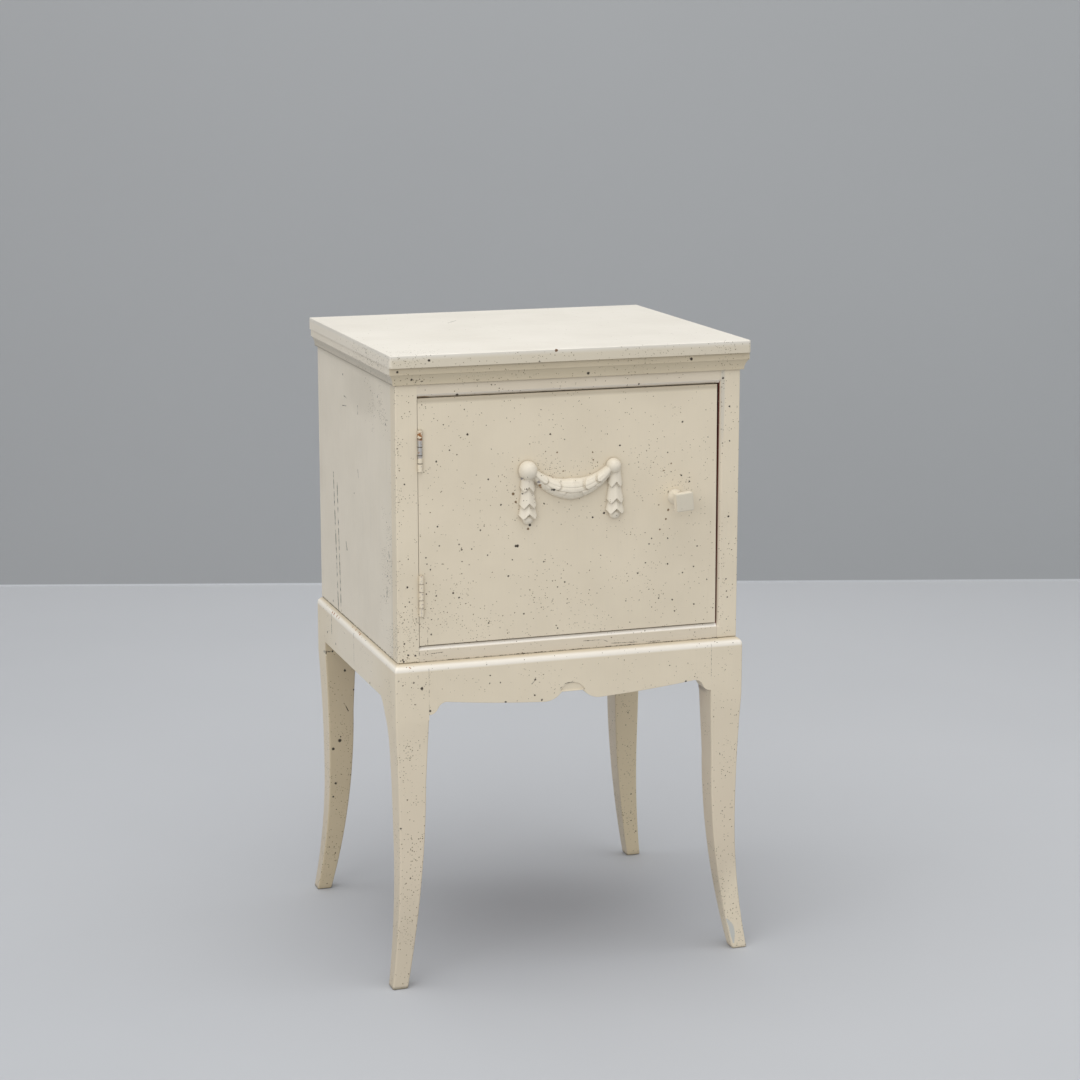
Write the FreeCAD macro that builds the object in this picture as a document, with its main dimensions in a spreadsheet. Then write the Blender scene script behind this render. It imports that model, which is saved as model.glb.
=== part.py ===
import FreeCAD, Part
import math
import os
import re
import Sketcher

Vector = FreeCAD.Vector
Rotation = FreeCAD.Rotation

# Driving dimensions in millimetres, and angles in degrees.
SIZES = {
    # The case: a box with a face frame, above the stand.
    "case_width": 393,
    "case_depth": 342,
    "case_height": 321.5,
    "side_thick": 16,
    "bottom_rail_height": 17,
    "housing_depth": 6,
    "back_thick": 10,
    "back_rebate": 8,
    "back_lap": 6,
    "back_seam": 0.4,
    "stile_width": 24,
    "top_rail_height": 34,
    "rail_bevel": 3.8,
    "stile_bevel": 3.5,
    "bevel_depth": 3.5,
    "frame_tenon_length": 10,
    "frame_tenon_thick": 7,
    "frame_tenon_shoulder": 4,
    "mortise_spare": 0.5,
    # The top board and the moulding below it.
    "top_thick": 13.5,
    "top_side_overhang": 8.2,
    "top_front_overhang": 11.5,
    "top_back_overhang": 3,
    "top_edge_round": 1.2,
    "top_corner_round": 4,
    "cornice_height": 19.3,
    "cornice_reach": 7.6,
    "fillet_height": 8,
    "cove_top_reach": 7,
    "cove_foot_reach": 3.2,
    "cove_foot_height": 1.4,
    "cove_round": 17,
    # The stand: sabre legs tenoned to aprons, with a rounded ledge round the case.
    "stand_height": 365,
    "stand_side_overhang": 5,
    "stand_front_overhang": 7.5,
    "stand_back_overhang": 3,
    "ledge_round": 7.4,
    "leg_width": 37.5,
    "leg_knee_drop": 65,
    "leg_waist_height": 155,
    "leg_waist_depth": 4,
    "leg_bend_drop": 135,
    "leg_bend_width": 34.5,
    "foot_width": 17.7,
    "foot_splay_side": 8.8,
    "foot_splay_depth": 6,
    "apron_thick": 20,
    "apron_depth": 48.5,
    "bracket_depth": 57.8,
    "bracket_reach": 20,
    "bracket_round": 10.9,
    "shoulder_depth": 44.5,
    "lobe_depth": 54.2,
    "lobe_place": 32,
    "lobe_round": 24.4,
    "swoop_round": 1500,
    "notch_width": 25,
    "notch_depth": 44.5,
    "ear_depth": 90,
    "ear_tip": 1.2,
    "ear_round": 48,
    "lunette_width": 28,
    "lunette_height": 8,
    "lunette_sink": 1.2,
    "lunette_lift": 1.5,
    "tenon_length": 20,
    "tenon_thick": 8,
    "tenon_face": 6,
    "tenon_top": 14,
    "tenon_height": 24,
    "block_reach": 75,
    "block_height": 24,
    "block_screw_inset": 5.5,
    # Inside the case.
    "cleat_width": 16,
    "cleat_height": 16,
    "cleat_setback": 30,
    "cleat_spare": 20,
    "shelf_height": 130,
    "shelf_thick": 14,
    "shelf_spare": 0.5,
    "stop_lap": 8,
    "stop_thick": 10,
    "stop_gap": 0.3,
    # The door, hung flush in the frame.
    "door_thick": 18,
    "door_gap_hinge": 0.5,
    "door_gap_top": 1.2,
    "door_gap_low": 1.2,
    "door_gap_lock_top": 3,
    "door_gap_lock_low": 1.6,
    "lipping_width": 9,
    # The butt hinges.
    "hinge_length": 44.5,
    "hinge_inset": 33,
    "hinge_proud": 1.5,
    "hinge_seat": 2.5,
    "barrel_radius": 2.6,
    "pin_radius": 1.3,
    "pin_clearance": 0.05,
    "pin_overrun": 0.6,
    "knuckle_gap": 0.3,
    "leaf_thick": 1.2,
    "leaf_width": 13,
    "leaf_screw_inset": 7,
    "leaf_screw_spread": 15,
    "recess_spare": 0.3,
    # The knob: a turned neck with a square cap, turned a little on the door.
    "knob_reach": 31,
    "knob_inset": 51.5,
    "knob_rise": 148.8,
    "neck_radius": 7,
    "neck_waist_radius": 6.2,
    "neck_length": 17,
    "neck_round": 38,
    "cap_width": 20,
    "cap_back_width": 12.5,
    "cap_drop": 3.6,
    "cap_flare": 5,
    "cap_round": 1.2,
    "cap_turn_angle": 5,
    # The garland glued on the door.
    "left_rosette_radius": 10.5,
    "right_rosette_radius": 9.5,
    "rosette_place": 50,
    "rosette_rise": 185.3,
    "rosette_seat_angle": 12,
    "garland_gap": 0.15,
    "swag_round": 56.7,
    "swag_sag": 23,
    "swag_end_angle": 54,
    "swag_width": 24.5,
    "swag_end_width": 13.5,
    "swag_relief": 10.5,
    "swag_end_relief": 7,
    "drop_length": 53,
    "drop_top_width": 14.5,
    "drop_low_width": 22,
    "drop_top_relief": 6.5,
    "drop_low_relief": 9,
    "leaf_notch": 5,
    "leaf_shoulder": 6,
    "bud_radius": 6.5,
    # Countersunk wood screws.
    "screw_radius": 2,
    "screw_head_radius": 4,
    "screw_grip": 11,
    "small_screw_radius": 1.1,
    "small_screw_head_radius": 2.2,
    "small_screw_length": 12,
    "screw_clearance": 0.05,
}

# Counts and shares of repeated features, how far a cut right through runs, and how near two
# places are the same one.
KNUCKLES = 5
SWAG_HUSK_ENDS = (0.57, 0.8, 0.975)
DROP_HUSK_ENDS = (0.45, 0.79, 1)
HUSK_NECK = 0.82
HUSK_CORE = 0.72
LEAF_TIP = 0.3
THROUGH_SPAN = 4
TOLERANCE = 1e-4

doc = FreeCAD.newDocument("Nightstand")
sheet = doc.addObject("Spreadsheet::Sheet", "Sizes")
for row, (alias, size) in enumerate(SIZES.items(), start=1):
    sheet.set(f"A{row}", alias)
    sheet.set(f"B{row}", str(size))
    sheet.setAlias(f"B{row}", alias)
doc.recompute()

# Shared planes: x to the right as one faces the door, y to the back, z up from the floor.
# The origin is on the floor, in the middle of the whole piece with its knob.
FRONT = "(-(case_depth + stand_back_overhang + foot_splay_depth - knob_reach) / 2)"
BACK = f"({FRONT} + case_depth)"
CASE_SIDE = "(case_width / 2)"
CASE_INSIDE = "(case_width / 2 - side_thick)"
CASE_TOP = "(stand_height + case_height)"
FRAME_BACK = f"({FRONT} + door_thick + stop_gap)"
BACK_BOARDS = f"({BACK} - back_thick)"
STAND_SIDE = "(case_width / 2 + stand_side_overhang)"
STAND_FRONT = f"({FRONT} - stand_front_overhang)"
STAND_BACK = f"({BACK} + stand_back_overhang)"
LEG_INSIDE = f"({STAND_SIDE} - leg_width)"
OPENING_SIDE = "(case_width / 2 - stile_width)"
OPENING_LOW = "(stand_height + bottom_rail_height)"
OPENING_TOP = f"({CASE_TOP} - top_rail_height)"
DOOR_LOW = f"({OPENING_LOW} + door_gap_low)"
DOOR_TOP = f"({OPENING_TOP} - door_gap_top)"
DOOR_HINGE_EDGE = f"(-{OPENING_SIDE} + door_gap_hinge)"
KNOB_X = f"({OPENING_SIDE} - knob_inset)"
KNOB_Z = f"({DOOR_LOW} + knob_rise)"
ROSETTE_Z = f"({DOOR_LOW} + rosette_rise)"
AXIS_X = f"(-{OPENING_SIDE} + hinge_seat)"
AXIS_Y = f"({FRONT} - hinge_proud)"
THROUGH = f"({THROUGH_SPAN} * {CASE_TOP})"

# Turns that point a primitive's own z axis along another direction.
ALONG = {
    "+z": Rotation(),
    "+y": Rotation(Vector(1, 0, 0), -90),
    "-y": Rotation(Vector(1, 0, 0), 90),
    "+x": Rotation(Vector(0, 1, 0), 90),
    "-x": Rotation(Vector(0, 1, 0), -90),
}
PLACES = {"x": "Placement.Base.x", "y": "Placement.Base.y", "z": "Placement.Base.z"}

sub_parts = []


def linked(formula):
    """The formula with each size's name pointing at its cell."""
    def cell(word):
        return f"Sizes.{word.group()}" if word.group() in SIZES else word.group()
    return re.sub(r"[a-z][a-z_]*", cell, str(formula))


def value(formula):
    """What a formula of sizes comes to."""
    return float(sheet.evalExpression(linked(formula)))


def bind(item, **formulas):
    """Ties properties of an object, or its x, y and z, to formulas of sizes."""
    for name, formula in formulas.items():
        item.setExpression(PLACES.get(name, name), linked(formula))
    return item


def finish(item, label):
    """Names an object as a finished sub-part."""
    item.Label = label
    sub_parts.append(item)
    return item


def block(name, x, y, z):
    """A square block from its low and high formulas on each axis."""
    item = doc.addObject("Part::Box", name)
    bind(item, x=x[0], y=y[0], z=z[0])
    return bind(
        item,
        Length=f"{x[1]} - {x[0]}",
        Width=f"{y[1]} - {y[0]}",
        Height=f"{z[1]} - {z[0]}",
    )


def rod(name, radius, length, along, x, y, z):
    """A round rod that starts at x, y, z."""
    item = doc.addObject("Part::Cylinder", name)
    item.Placement = FreeCAD.Placement(Vector(), ALONG[along])
    return bind(item, Radius=radius, Height=length, x=x, y=y, z=z)


def cone(name, radius, tip_radius, length, along, x, y, z):
    """A round taper that starts at x, y, z."""
    item = doc.addObject("Part::Cone", name)
    item.Placement = FreeCAD.Placement(Vector(), ALONG[along])
    return bind(item, Radius1=radius, Radius2=tip_radius, Height=length, x=x, y=y, z=z)


def group(name, items):
    item = doc.addObject("Part::Compound", name)
    item.Links = items
    return item


def cut(name, base, tools):
    item = doc.addObject("Part::Cut", name)
    item.Base = base
    item.Tool = tools[0] if len(tools) == 1 else group(f"{name}_tools", tools)
    return item


def fuse(name, items):
    item = doc.addObject("Part::MultiFuse", name)
    item.Shapes = items
    item.Refine = True
    return item


def common(name, first, second):
    item = doc.addObject("Part::Common", name)
    item.Base = first
    item.Tool = second
    return item


def mirrored(name, source, normal=(1, 0, 0), middle="0"):
    """The source's mirror image across a plane square to x, or to y at a formula."""
    item = doc.addObject("Part::Mirroring", name)
    item.Source = source
    item.Normal = normal
    item.setExpression("Base.y", linked(middle))
    return item


def outline(sketch, corners, bends):
    """Draws a closed outline whose corners, and the radii of its bends, follow formulas.

    A bend is the stretch after a corner, as (radius, side), where side is 1 for a stretch
    that bulges to the left of the way round and -1 for one that bulges to the right.
    """
    points = [Vector(value(across), value(up), 0) for across, up in corners]
    ahead = points[1:] + points[:1]
    for index, (start, end) in enumerate(zip(points, ahead)):
        if index not in bends:
            sketch.addGeometry(Part.LineSegment(start, end))
            continue
        radius, side = bends[index]
        chord = end - start
        half = chord.Length / 2
        bulge = value(radius) - math.sqrt(value(radius) ** 2 - half ** 2)
        left = Vector(-chord.y, chord.x, 0).normalize()
        sketch.addGeometry(Part.Arc(start, (start + end) / 2 + left * bulge * side, end))

    def end_at(index, point):
        starts_there = sketch.getPoint(index, 1).distanceToPoint(point)
        ends_there = sketch.getPoint(index, 2).distanceToPoint(point)
        return 1 if starts_there < ends_there else 2

    def hold(name, constraint, formula):
        sketch.renameConstraint(sketch.addConstraint(constraint), name)
        sketch.setExpression(f"Constraints.{name}", linked(formula))

    for index, point in enumerate(points):
        before = (index - 1) % len(points)
        here = end_at(index, point)
        sketch.addConstraint(
            Sketcher.Constraint("Coincident", before, end_at(before, point), index, here))
    for index, (point, (across, up)) in enumerate(zip(points, corners)):
        here = end_at(index, point)
        hold(f"across_{index}", Sketcher.Constraint("DistanceX", index, here, point.x), across)
        hold(f"up_{index}", Sketcher.Constraint("DistanceY", index, here, point.y), up)
    for index, (radius, side) in bends.items():
        hold(f"bend_{index}", Sketcher.Constraint("Radius", index, value(radius)), radius)


def drawn(name, plane, corners, bends=None, start=None, length=None):
    """A body padded from one outline: right through the piece, or by a length from a start."""
    body = doc.addObject("PartDesign::Body", name)
    sketch = body.newObject("Sketcher::SketchObject", f"{name}_outline")
    origin_plane = [item for item in body.Origin.OriginFeatures if item.Role == plane][0]
    sketch.AttachmentSupport = [(origin_plane, "")]
    sketch.MapMode = "FlatFace"
    outline(sketch, corners, bends or {})
    pad = body.newObject("PartDesign::Pad", f"{name}_pad")
    pad.Profile = sketch
    if start is None:
        pad.SideType = "Symmetric"
        return bind_pad(body, pad, THROUGH)
    backwards = plane == "XZ_Plane"
    pad.Reversed = backwards
    bind(sketch, **{"AttachmentOffset.Base.z": f"-{start}" if backwards else start})
    return bind_pad(body, pad, length)


def bind_pad(body, pad, length):
    bind(pad, Length=length)
    doc.recompute()
    return body


def rounded(body, radius, chosen):
    """Rounds the edges of a body that the test picks."""
    tip = body.Tip
    names = [f"Edge{index}" for index, edge in enumerate(tip.Shape.Edges, start=1) if chosen(edge)]
    fillet = body.newObject("PartDesign::Fillet", f"{body.Name}_round")
    fillet.Base = (tip, names)
    bind(fillet, Radius=radius)
    body.Tip = fillet
    doc.recompute()
    return body


def flat_at(edge, axis, place):
    """Whether an edge lies in the plane square to an axis at a place."""
    box = edge.BoundBox
    low = getattr(box, f"{axis}Min")
    high = getattr(box, f"{axis}Max")
    return max(abs(low - place), abs(high - place)) < TOLERANCE


def wood_screw(name, along, length, x, y, z, small=False):
    """A countersunk screw with its head flush at x, y, z, and the hole that takes it."""
    size = "small_screw" if small else "screw"
    made = []
    for kind, spare in (("", "0"), ("_hole", "screw_clearance")):
        shank = f"({size}_radius + {spare})"
        head = f"({size}_head_radius + {spare})"
        taper = f"({head} - {shank})"
        pieces = [
            rod(f"{name}{kind}_shank", shank, f"{length} + {spare}", along, x, y, z),
            cone(f"{name}{kind}_head", head, shank, taper, along, x, y, z),
        ]
        made.append(fuse(f"{name}{kind}", pieces))
    return made


# The legs: each is the crossing of one sabre outline seen from the front and one from the side.
KNEE = "(stand_height - leg_knee_drop)"
BEND = "(stand_height - leg_bend_drop)"


def leg_outline(edge, inward, splay):
    outward = "+" if inward == "-" else "-"
    turn = 1 if inward == "-" else -1
    corners = [
        (f"{edge} {inward} ledge_round", "stand_height"),
        (edge, "stand_height - ledge_round"),
        (edge, KNEE),
        (f"{edge} {inward} leg_waist_depth", "leg_waist_height"),
        (f"{edge} {outward} {splay}", "0"),
        (f"{edge} {outward} {splay} {inward} foot_width", "0"),
        (f"{edge} {inward} leg_bend_width", BEND),
        (f"{edge} {inward} leg_width", KNEE),
        (f"{edge} {inward} leg_width", "stand_height"),
    ]

    def upright_arc(sweep, rise):
        """Radius of an arc that starts upright and sweeps aside over a rise."""
        return f"({sweep}) / 2 + ({rise}) ^ 2 / (2 * ({sweep}))"

    bends = {
        0: ("ledge_round", turn),
        2: (upright_arc("leg_waist_depth", f"{KNEE} - leg_waist_height"), -turn),
        3: (upright_arc(f"leg_waist_depth + {splay}", "leg_waist_height"), -turn),
        5: (upright_arc(f"leg_bend_width + {splay} - foot_width", BEND), turn),
    }
    return corners, bends


TENON_TOP = "(stand_height - tenon_top)"
TENON_LOW = "(stand_height - tenon_top - tenon_height)"
FRONT_TENON = (f"({STAND_FRONT} + tenon_face)", f"({STAND_FRONT} + tenon_face + tenon_thick)")
SIDE_TENON = (f"({STAND_SIDE} - tenon_face - tenon_thick)", f"({STAND_SIDE} - tenon_face)")
LEG_BACK = f"({STAND_FRONT} + leg_width)"
LEG_BACK_FRONT = f"({STAND_BACK} - leg_width)"
STAND_MIDDLE = f"({STAND_FRONT} + {STAND_BACK}) / 2"

leg_front_view = drawn("leg_front_view", "XZ_Plane", *leg_outline(STAND_SIDE, "-", "foot_splay_side"))
leg_side_view = drawn("leg_side_view", "YZ_Plane", *leg_outline(STAND_FRONT, "+", "foot_splay_depth"))
leg_sawn = common("leg_sawn", leg_front_view, leg_side_view)
leg_mortises = [
    block(
        "mortise_front",
        (f"{LEG_INSIDE}", f"({LEG_INSIDE} + tenon_length + mortise_spare)"),
        FRONT_TENON,
        (TENON_LOW, TENON_TOP),
    ),
    block(
        "mortise_side",
        SIDE_TENON,
        (f"({LEG_BACK} - tenon_length - mortise_spare)", LEG_BACK),
        (TENON_LOW, TENON_TOP),
    ),
]
leg = finish(cut("leg", leg_sawn, leg_mortises), "leg_front_right")
finish(mirrored("leg_front_left", leg), "leg_front_left")
leg_back = mirrored("leg_back", leg, (0, 1, 0), STAND_MIDDLE)
finish(leg_back, "leg_back_right")
finish(mirrored("leg_back_left", leg_back), "leg_back_left")


# The aprons: a rounded ledge along the top outer edge, and tenons into the legs.
def apron_section(edge, inward, depth):
    turn = 1 if inward == "-" else -1
    corners = [
        (f"{edge} {inward} ledge_round", "stand_height"),
        (edge, "stand_height - ledge_round"),
        (edge, f"stand_height - {depth}"),
        (f"{edge} {inward} apron_thick", f"stand_height - {depth}"),
        (f"{edge} {inward} apron_thick", "stand_height"),
    ]
    return corners, {0: ("ledge_round", turn)}


def apron_front_outline():
    """The scalloped lower edge: ogee brackets at the legs, two long lobes and a middle notch."""
    right = [
        (LEG_INSIDE, "stand_height"),
        (LEG_INSIDE, "stand_height - bracket_depth"),
        (f"{LEG_INSIDE} - bracket_reach / 2", "stand_height - (bracket_depth + shoulder_depth) / 2"),
        (f"{LEG_INSIDE} - bracket_reach", "stand_height - shoulder_depth"),
        ("lobe_place", "stand_height - lobe_depth"),
        ("notch_width / 2", "stand_height - notch_depth"),
    ]
    left = [(f"-({across})", up) for across, up in reversed(right)]
    bends = {
        1: ("bracket_round", 1),
        2: ("bracket_round", -1),
        3: ("swoop_round", 1),
        4: ("lobe_round", 1),
        6: ("lobe_round", 1),
        7: ("swoop_round", 1),
        8: ("bracket_round", -1),
        9: ("bracket_round", 1),
    }
    return right + left, bends


def apron_side_outline():
    """A straight lower edge with a hollow ear running down the front leg."""
    ear_low = "(stand_height - ear_depth)"
    ear_reach = "(ear_tip + ear_round - sqrt(ear_round ^ 2 - (ear_depth - apron_depth) ^ 2))"
    corners = [
        (LEG_BACK, "stand_height"),
        (LEG_BACK_FRONT, "stand_height"),
        (LEG_BACK_FRONT, "stand_height - apron_depth"),
        (f"{LEG_BACK} + {ear_reach}", "stand_height - apron_depth"),
        (f"{LEG_BACK} + ear_tip", ear_low),
        (LEG_BACK, ear_low),
    ]
    return corners, {3: ("ear_round", -1)}


front_section = drawn(
    "apron_front_section", "YZ_Plane", *apron_section(STAND_FRONT, "+", "bracket_depth"))
front_scallop = drawn("apron_front_scallop", "XZ_Plane", *apron_front_outline())
LUNETTE_FOOT = "(stand_height - notch_depth + lunette_lift)"
lunette = drawn(
    "lunette",
    "XZ_Plane",
    [("-lunette_width / 2", LUNETTE_FOOT), ("lunette_width / 2", LUNETTE_FOOT)],
    {1: ("lunette_height / 2 + lunette_width ^ 2 / (8 * lunette_height)", -1)},
    start=STAND_FRONT,
    length="lunette_sink",
)
front_tenons = block(
    "apron_front_tenons",
    (f"(-{LEG_INSIDE} - tenon_length)", f"({LEG_INSIDE} + tenon_length)"),
    FRONT_TENON,
    (TENON_LOW, TENON_TOP),
)
front_board = cut("apron_front_board", common("apron_front_sawn", front_section, front_scallop), [lunette])
finish(fuse("apron_front", [front_board, front_tenons]), "apron_front")

side_section = drawn("apron_side_section", "XZ_Plane", *apron_section(STAND_SIDE, "-", "ear_depth"))
side_ears = drawn("apron_side_ears", "YZ_Plane", *apron_side_outline())
side_tenons = block(
    "apron_side_tenons",
    SIDE_TENON,
    (f"({LEG_BACK} - tenon_length)", f"({LEG_BACK_FRONT} + tenon_length)"),
    (TENON_LOW, TENON_TOP),
)
side_board = common("apron_side_board", side_section, side_ears)
apron_right = finish(fuse("apron_right", [side_board, side_tenons]), "apron_right")
finish(mirrored("apron_left", apron_right), "apron_left")

back_section = drawn("apron_back_section", "YZ_Plane", *apron_section(STAND_BACK, "-", "apron_depth"))
back_length = block(
    "apron_back_length",
    (f"-{LEG_INSIDE}", LEG_INSIDE),
    (f"({STAND_BACK} - apron_thick)", STAND_BACK),
    ("(stand_height - apron_depth)", "stand_height"),
)
back_tenons = block(
    "apron_back_tenons",
    (f"(-{LEG_INSIDE} - tenon_length)", f"({LEG_INSIDE} + tenon_length)"),
    (f"({STAND_BACK} - tenon_face - tenon_thick)", f"({STAND_BACK} - tenon_face)"),
    (TENON_LOW, TENON_TOP),
)
back_board = common("apron_back_board", back_section, back_length)
finish(fuse("apron_back", [back_board, back_tenons]), "apron_back")

# Corner blocks fit round the inside corner of each leg and take the screws into the case floor.
BLOCK_LOW = "(stand_height - block_height)"
block_corners = [
    (f"{STAND_SIDE} - block_reach", f"{STAND_FRONT} + apron_thick"),
    (LEG_INSIDE, f"{STAND_FRONT} + apron_thick"),
    (LEG_INSIDE, LEG_BACK),
    (f"{STAND_SIDE} - apron_thick", LEG_BACK),
    (f"{STAND_SIDE} - apron_thick", f"{STAND_FRONT} + block_reach"),
]
corner_block = drawn("corner_block", "XY_Plane", block_corners, start=BLOCK_LOW, length="block_height")
stand_screw, stand_hole = wood_screw(
    "stand_screw",
    "+z",
    "block_height + screw_grip",
    f"{LEG_INSIDE} - block_screw_inset",
    f"{LEG_BACK} + block_screw_inset",
    BLOCK_LOW,
)


def four_corners(name, item):
    """The item of the front right corner with its three mirror images."""
    behind = mirrored(f"{name}_behind", item, (0, 1, 0), STAND_MIDDLE)
    pair = [item, behind]
    others = [mirrored(f"{name}_left_{index}", one) for index, one in enumerate(pair)]
    return group(f"{name}_set", pair + others)


corner_block_drilled = cut("corner_block_drilled", corner_block, [stand_hole])
finish(four_corners("corner_block", corner_block_drilled), "corner_blocks")
finish(four_corners("stand_screw", stand_screw), "stand_screws")
stand_holes = four_corners("stand_hole", stand_hole)

# The case: floor, sides, and lapped boards behind.
bottom = block(
    "bottom",
    (f"(-{CASE_INSIDE} - housing_depth)", f"({CASE_INSIDE} + housing_depth)"),
    (FRAME_BACK, BACK_BOARDS),
    ("stand_height", OPENING_LOW),
)
finish(cut("bottom_drilled", bottom, [stand_holes]), "bottom_board")

CLEAT_INSIDE = f"({CASE_INSIDE} - cleat_width)"
CLEAT_FRONT = f"({FRONT} + cleat_setback)"
CLEAT_BACK = f"({BACK_BOARDS} - cleat_spare)"
SHELF_LOW = f"({OPENING_LOW} + shelf_height)"
cleat_levels = {"shelf": SHELF_LOW, "top": CASE_TOP}
screw_places = {
    "front": f"({CLEAT_FRONT} + ({CLEAT_BACK} - {CLEAT_FRONT}) / 4)",
    "back": f"({CLEAT_BACK} - ({CLEAT_BACK} - {CLEAT_FRONT}) / 4)",
}
top_screw_places = {
    "front": f"({CLEAT_FRONT} + cleat_height)",
    "back": f"({CLEAT_BACK} - cleat_height)",
}

cleat_screws = []
cleat_holes = {level: [] for level in cleat_levels}
for level, height in cleat_levels.items():
    for end, place in screw_places.items():
        screw, hole = wood_screw(
            f"{level}_cleat_screw_{end}",
            "+x",
            "cleat_width + screw_grip",
            CLEAT_INSIDE,
            place,
            f"{height} - cleat_height / 2",
        )
        cleat_screws.append(screw)
        cleat_holes[level].append(hole)
cleat_screws += [mirrored(f"{screw.Name}_left", screw) for screw in cleat_screws]
finish(group("cleat_screw_set", cleat_screws), "cleat_screws")

top_screws = []
top_holes = []
for end, place in top_screw_places.items():
    screw, hole = wood_screw(
        f"top_screw_{end}",
        "+z",
        "cleat_height + screw_grip",
        f"{CASE_INSIDE} - cleat_width / 2",
        place,
        f"{CASE_TOP} - cleat_height",
    )
    top_screws.append(screw)
    top_holes.append(hole)
top_screws += [mirrored(f"{screw.Name}_left", screw) for screw in top_screws]
finish(group("top_screw_set", top_screws), "top_screws")
top_holes_left = [mirrored(f"{hole.Name}_left", hole) for hole in top_holes]

side = block("side", (CASE_INSIDE, CASE_SIDE), (FRAME_BACK, BACK), ("stand_height", CASE_TOP))
side_rebate = block(
    "side_rebate",
    (CASE_INSIDE, f"({CASE_SIDE} - back_rebate)"),
    (BACK_BOARDS, BACK),
    ("stand_height", CASE_TOP),
)
side_housing = block(
    "side_housing",
    (CASE_INSIDE, f"({CASE_INSIDE} + housing_depth)"),
    (FRAME_BACK, BACK_BOARDS),
    ("stand_height", OPENING_LOW),
)
side_cuts = [side_rebate, side_housing] + cleat_holes["shelf"] + cleat_holes["top"]
side_right = finish(cut("side_right", side, side_cuts), "side_right")
finish(mirrored("side_left", side_right), "side_left")

for level, height in cleat_levels.items():
    cleat = block(
        f"{level}_cleat",
        (CLEAT_INSIDE, CASE_INSIDE),
        (CLEAT_FRONT, CLEAT_BACK),
        (f"({height} - cleat_height)", height),
    )
    holes = cleat_holes[level] + (top_holes if level == "top" else [])
    cleat_right = finish(cut(f"{level}_cleat_right", cleat, holes), f"{level}_cleat_right")
    finish(mirrored(f"{level}_cleat_left", cleat_right), f"{level}_cleat_left")

shelf = block(
    "shelf",
    (f"(-{CASE_INSIDE} + shelf_spare)", f"({CASE_INSIDE} - shelf_spare)"),
    (CLEAT_FRONT, f"({BACK_BOARDS} - shelf_spare)"),
    (SHELF_LOW, f"({SHELF_LOW} + shelf_thick)"),
)
finish(shelf, "shelf")

BACK_EDGE = f"({CASE_SIDE} - back_rebate)"
back_seams = [f"-{BACK_EDGE}", f"(-{BACK_EDGE} / 3)", f"({BACK_EDGE} / 3)", BACK_EDGE]
back_names = ["left", "middle", "right"]
for index, name in enumerate(back_names):
    low, high = back_seams[index], back_seams[index + 1]
    first, last = index == 0, index == len(back_names) - 1
    inner_high = high if last else f"({high} - back_seam)"
    outer_low = low if first else f"({low} + back_lap)"
    outer_high = high if last else f"({high} + back_lap - back_seam)"
    middle_plane = f"({BACK} - back_thick / 2)"
    height = ("stand_height", CASE_TOP)
    inner = block(f"back_inner_{name}", (low, inner_high), (BACK_BOARDS, middle_plane), height)
    outer = block(f"back_outer_{name}", (outer_low, outer_high), (middle_plane, BACK), height)
    finish(fuse(f"back_{name}", [inner, outer]), f"back_board_{name}")

# The face frame: rails tenoned between full-height stiles, with the opening's edges bevelled
# on the two rails and on the stile away from the hinges, and mitred at its corners.
opening_bevel = doc.addObject("Part::Wedge", "opening_bevel")
bind(opening_bevel, Ymin=FRONT, Ymax=f"{FRONT} + bevel_depth")
bind(opening_bevel, Xmin=f"-{OPENING_SIDE}", Xmax=f"{OPENING_SIDE} + stile_bevel")
bind(opening_bevel, Zmin=f"{OPENING_LOW} - rail_bevel", Zmax=f"{OPENING_TOP} + rail_bevel")
bind(opening_bevel, X2min=f"-{OPENING_SIDE}", X2max=OPENING_SIDE)
bind(opening_bevel, Z2min=OPENING_LOW, Z2max=OPENING_TOP)
TENON_FACE = f"(({FRONT} + {FRAME_BACK} - frame_tenon_thick) / 2)"
TENON_BACK = f"({TENON_FACE} + frame_tenon_thick)"
FRAME_DEPTH = (FRONT, FRAME_BACK)
rails = {"top": (OPENING_TOP, CASE_TOP), "bottom": ("stand_height", OPENING_LOW)}
frame_mortises = []
for name, (low, high) in rails.items():
    blank = block(f"rail_{name}_blank", (f"-{OPENING_SIDE}", OPENING_SIDE), FRAME_DEPTH, (low, high))
    tenon_height = (f"({low} + frame_tenon_shoulder)", f"({high} - frame_tenon_shoulder)")
    tenons = block(
        f"rail_{name}_tenons",
        (f"(-{OPENING_SIDE} - frame_tenon_length)", f"({OPENING_SIDE} + frame_tenon_length)"),
        (TENON_FACE, TENON_BACK),
        tenon_height,
    )
    bar = cut(f"rail_{name}_bar", blank, [opening_bevel])
    finish(fuse(f"rail_{name}", [bar, tenons]), f"rail_{name}")
    frame_mortises.append(
        block(
            f"rail_{name}_mortises",
            (f"(-{OPENING_SIDE} - frame_tenon_length - mortise_spare)",
             f"({OPENING_SIDE} + frame_tenon_length + mortise_spare)"),
            (TENON_FACE, TENON_BACK),
            tenon_height,
        )
    )

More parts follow.
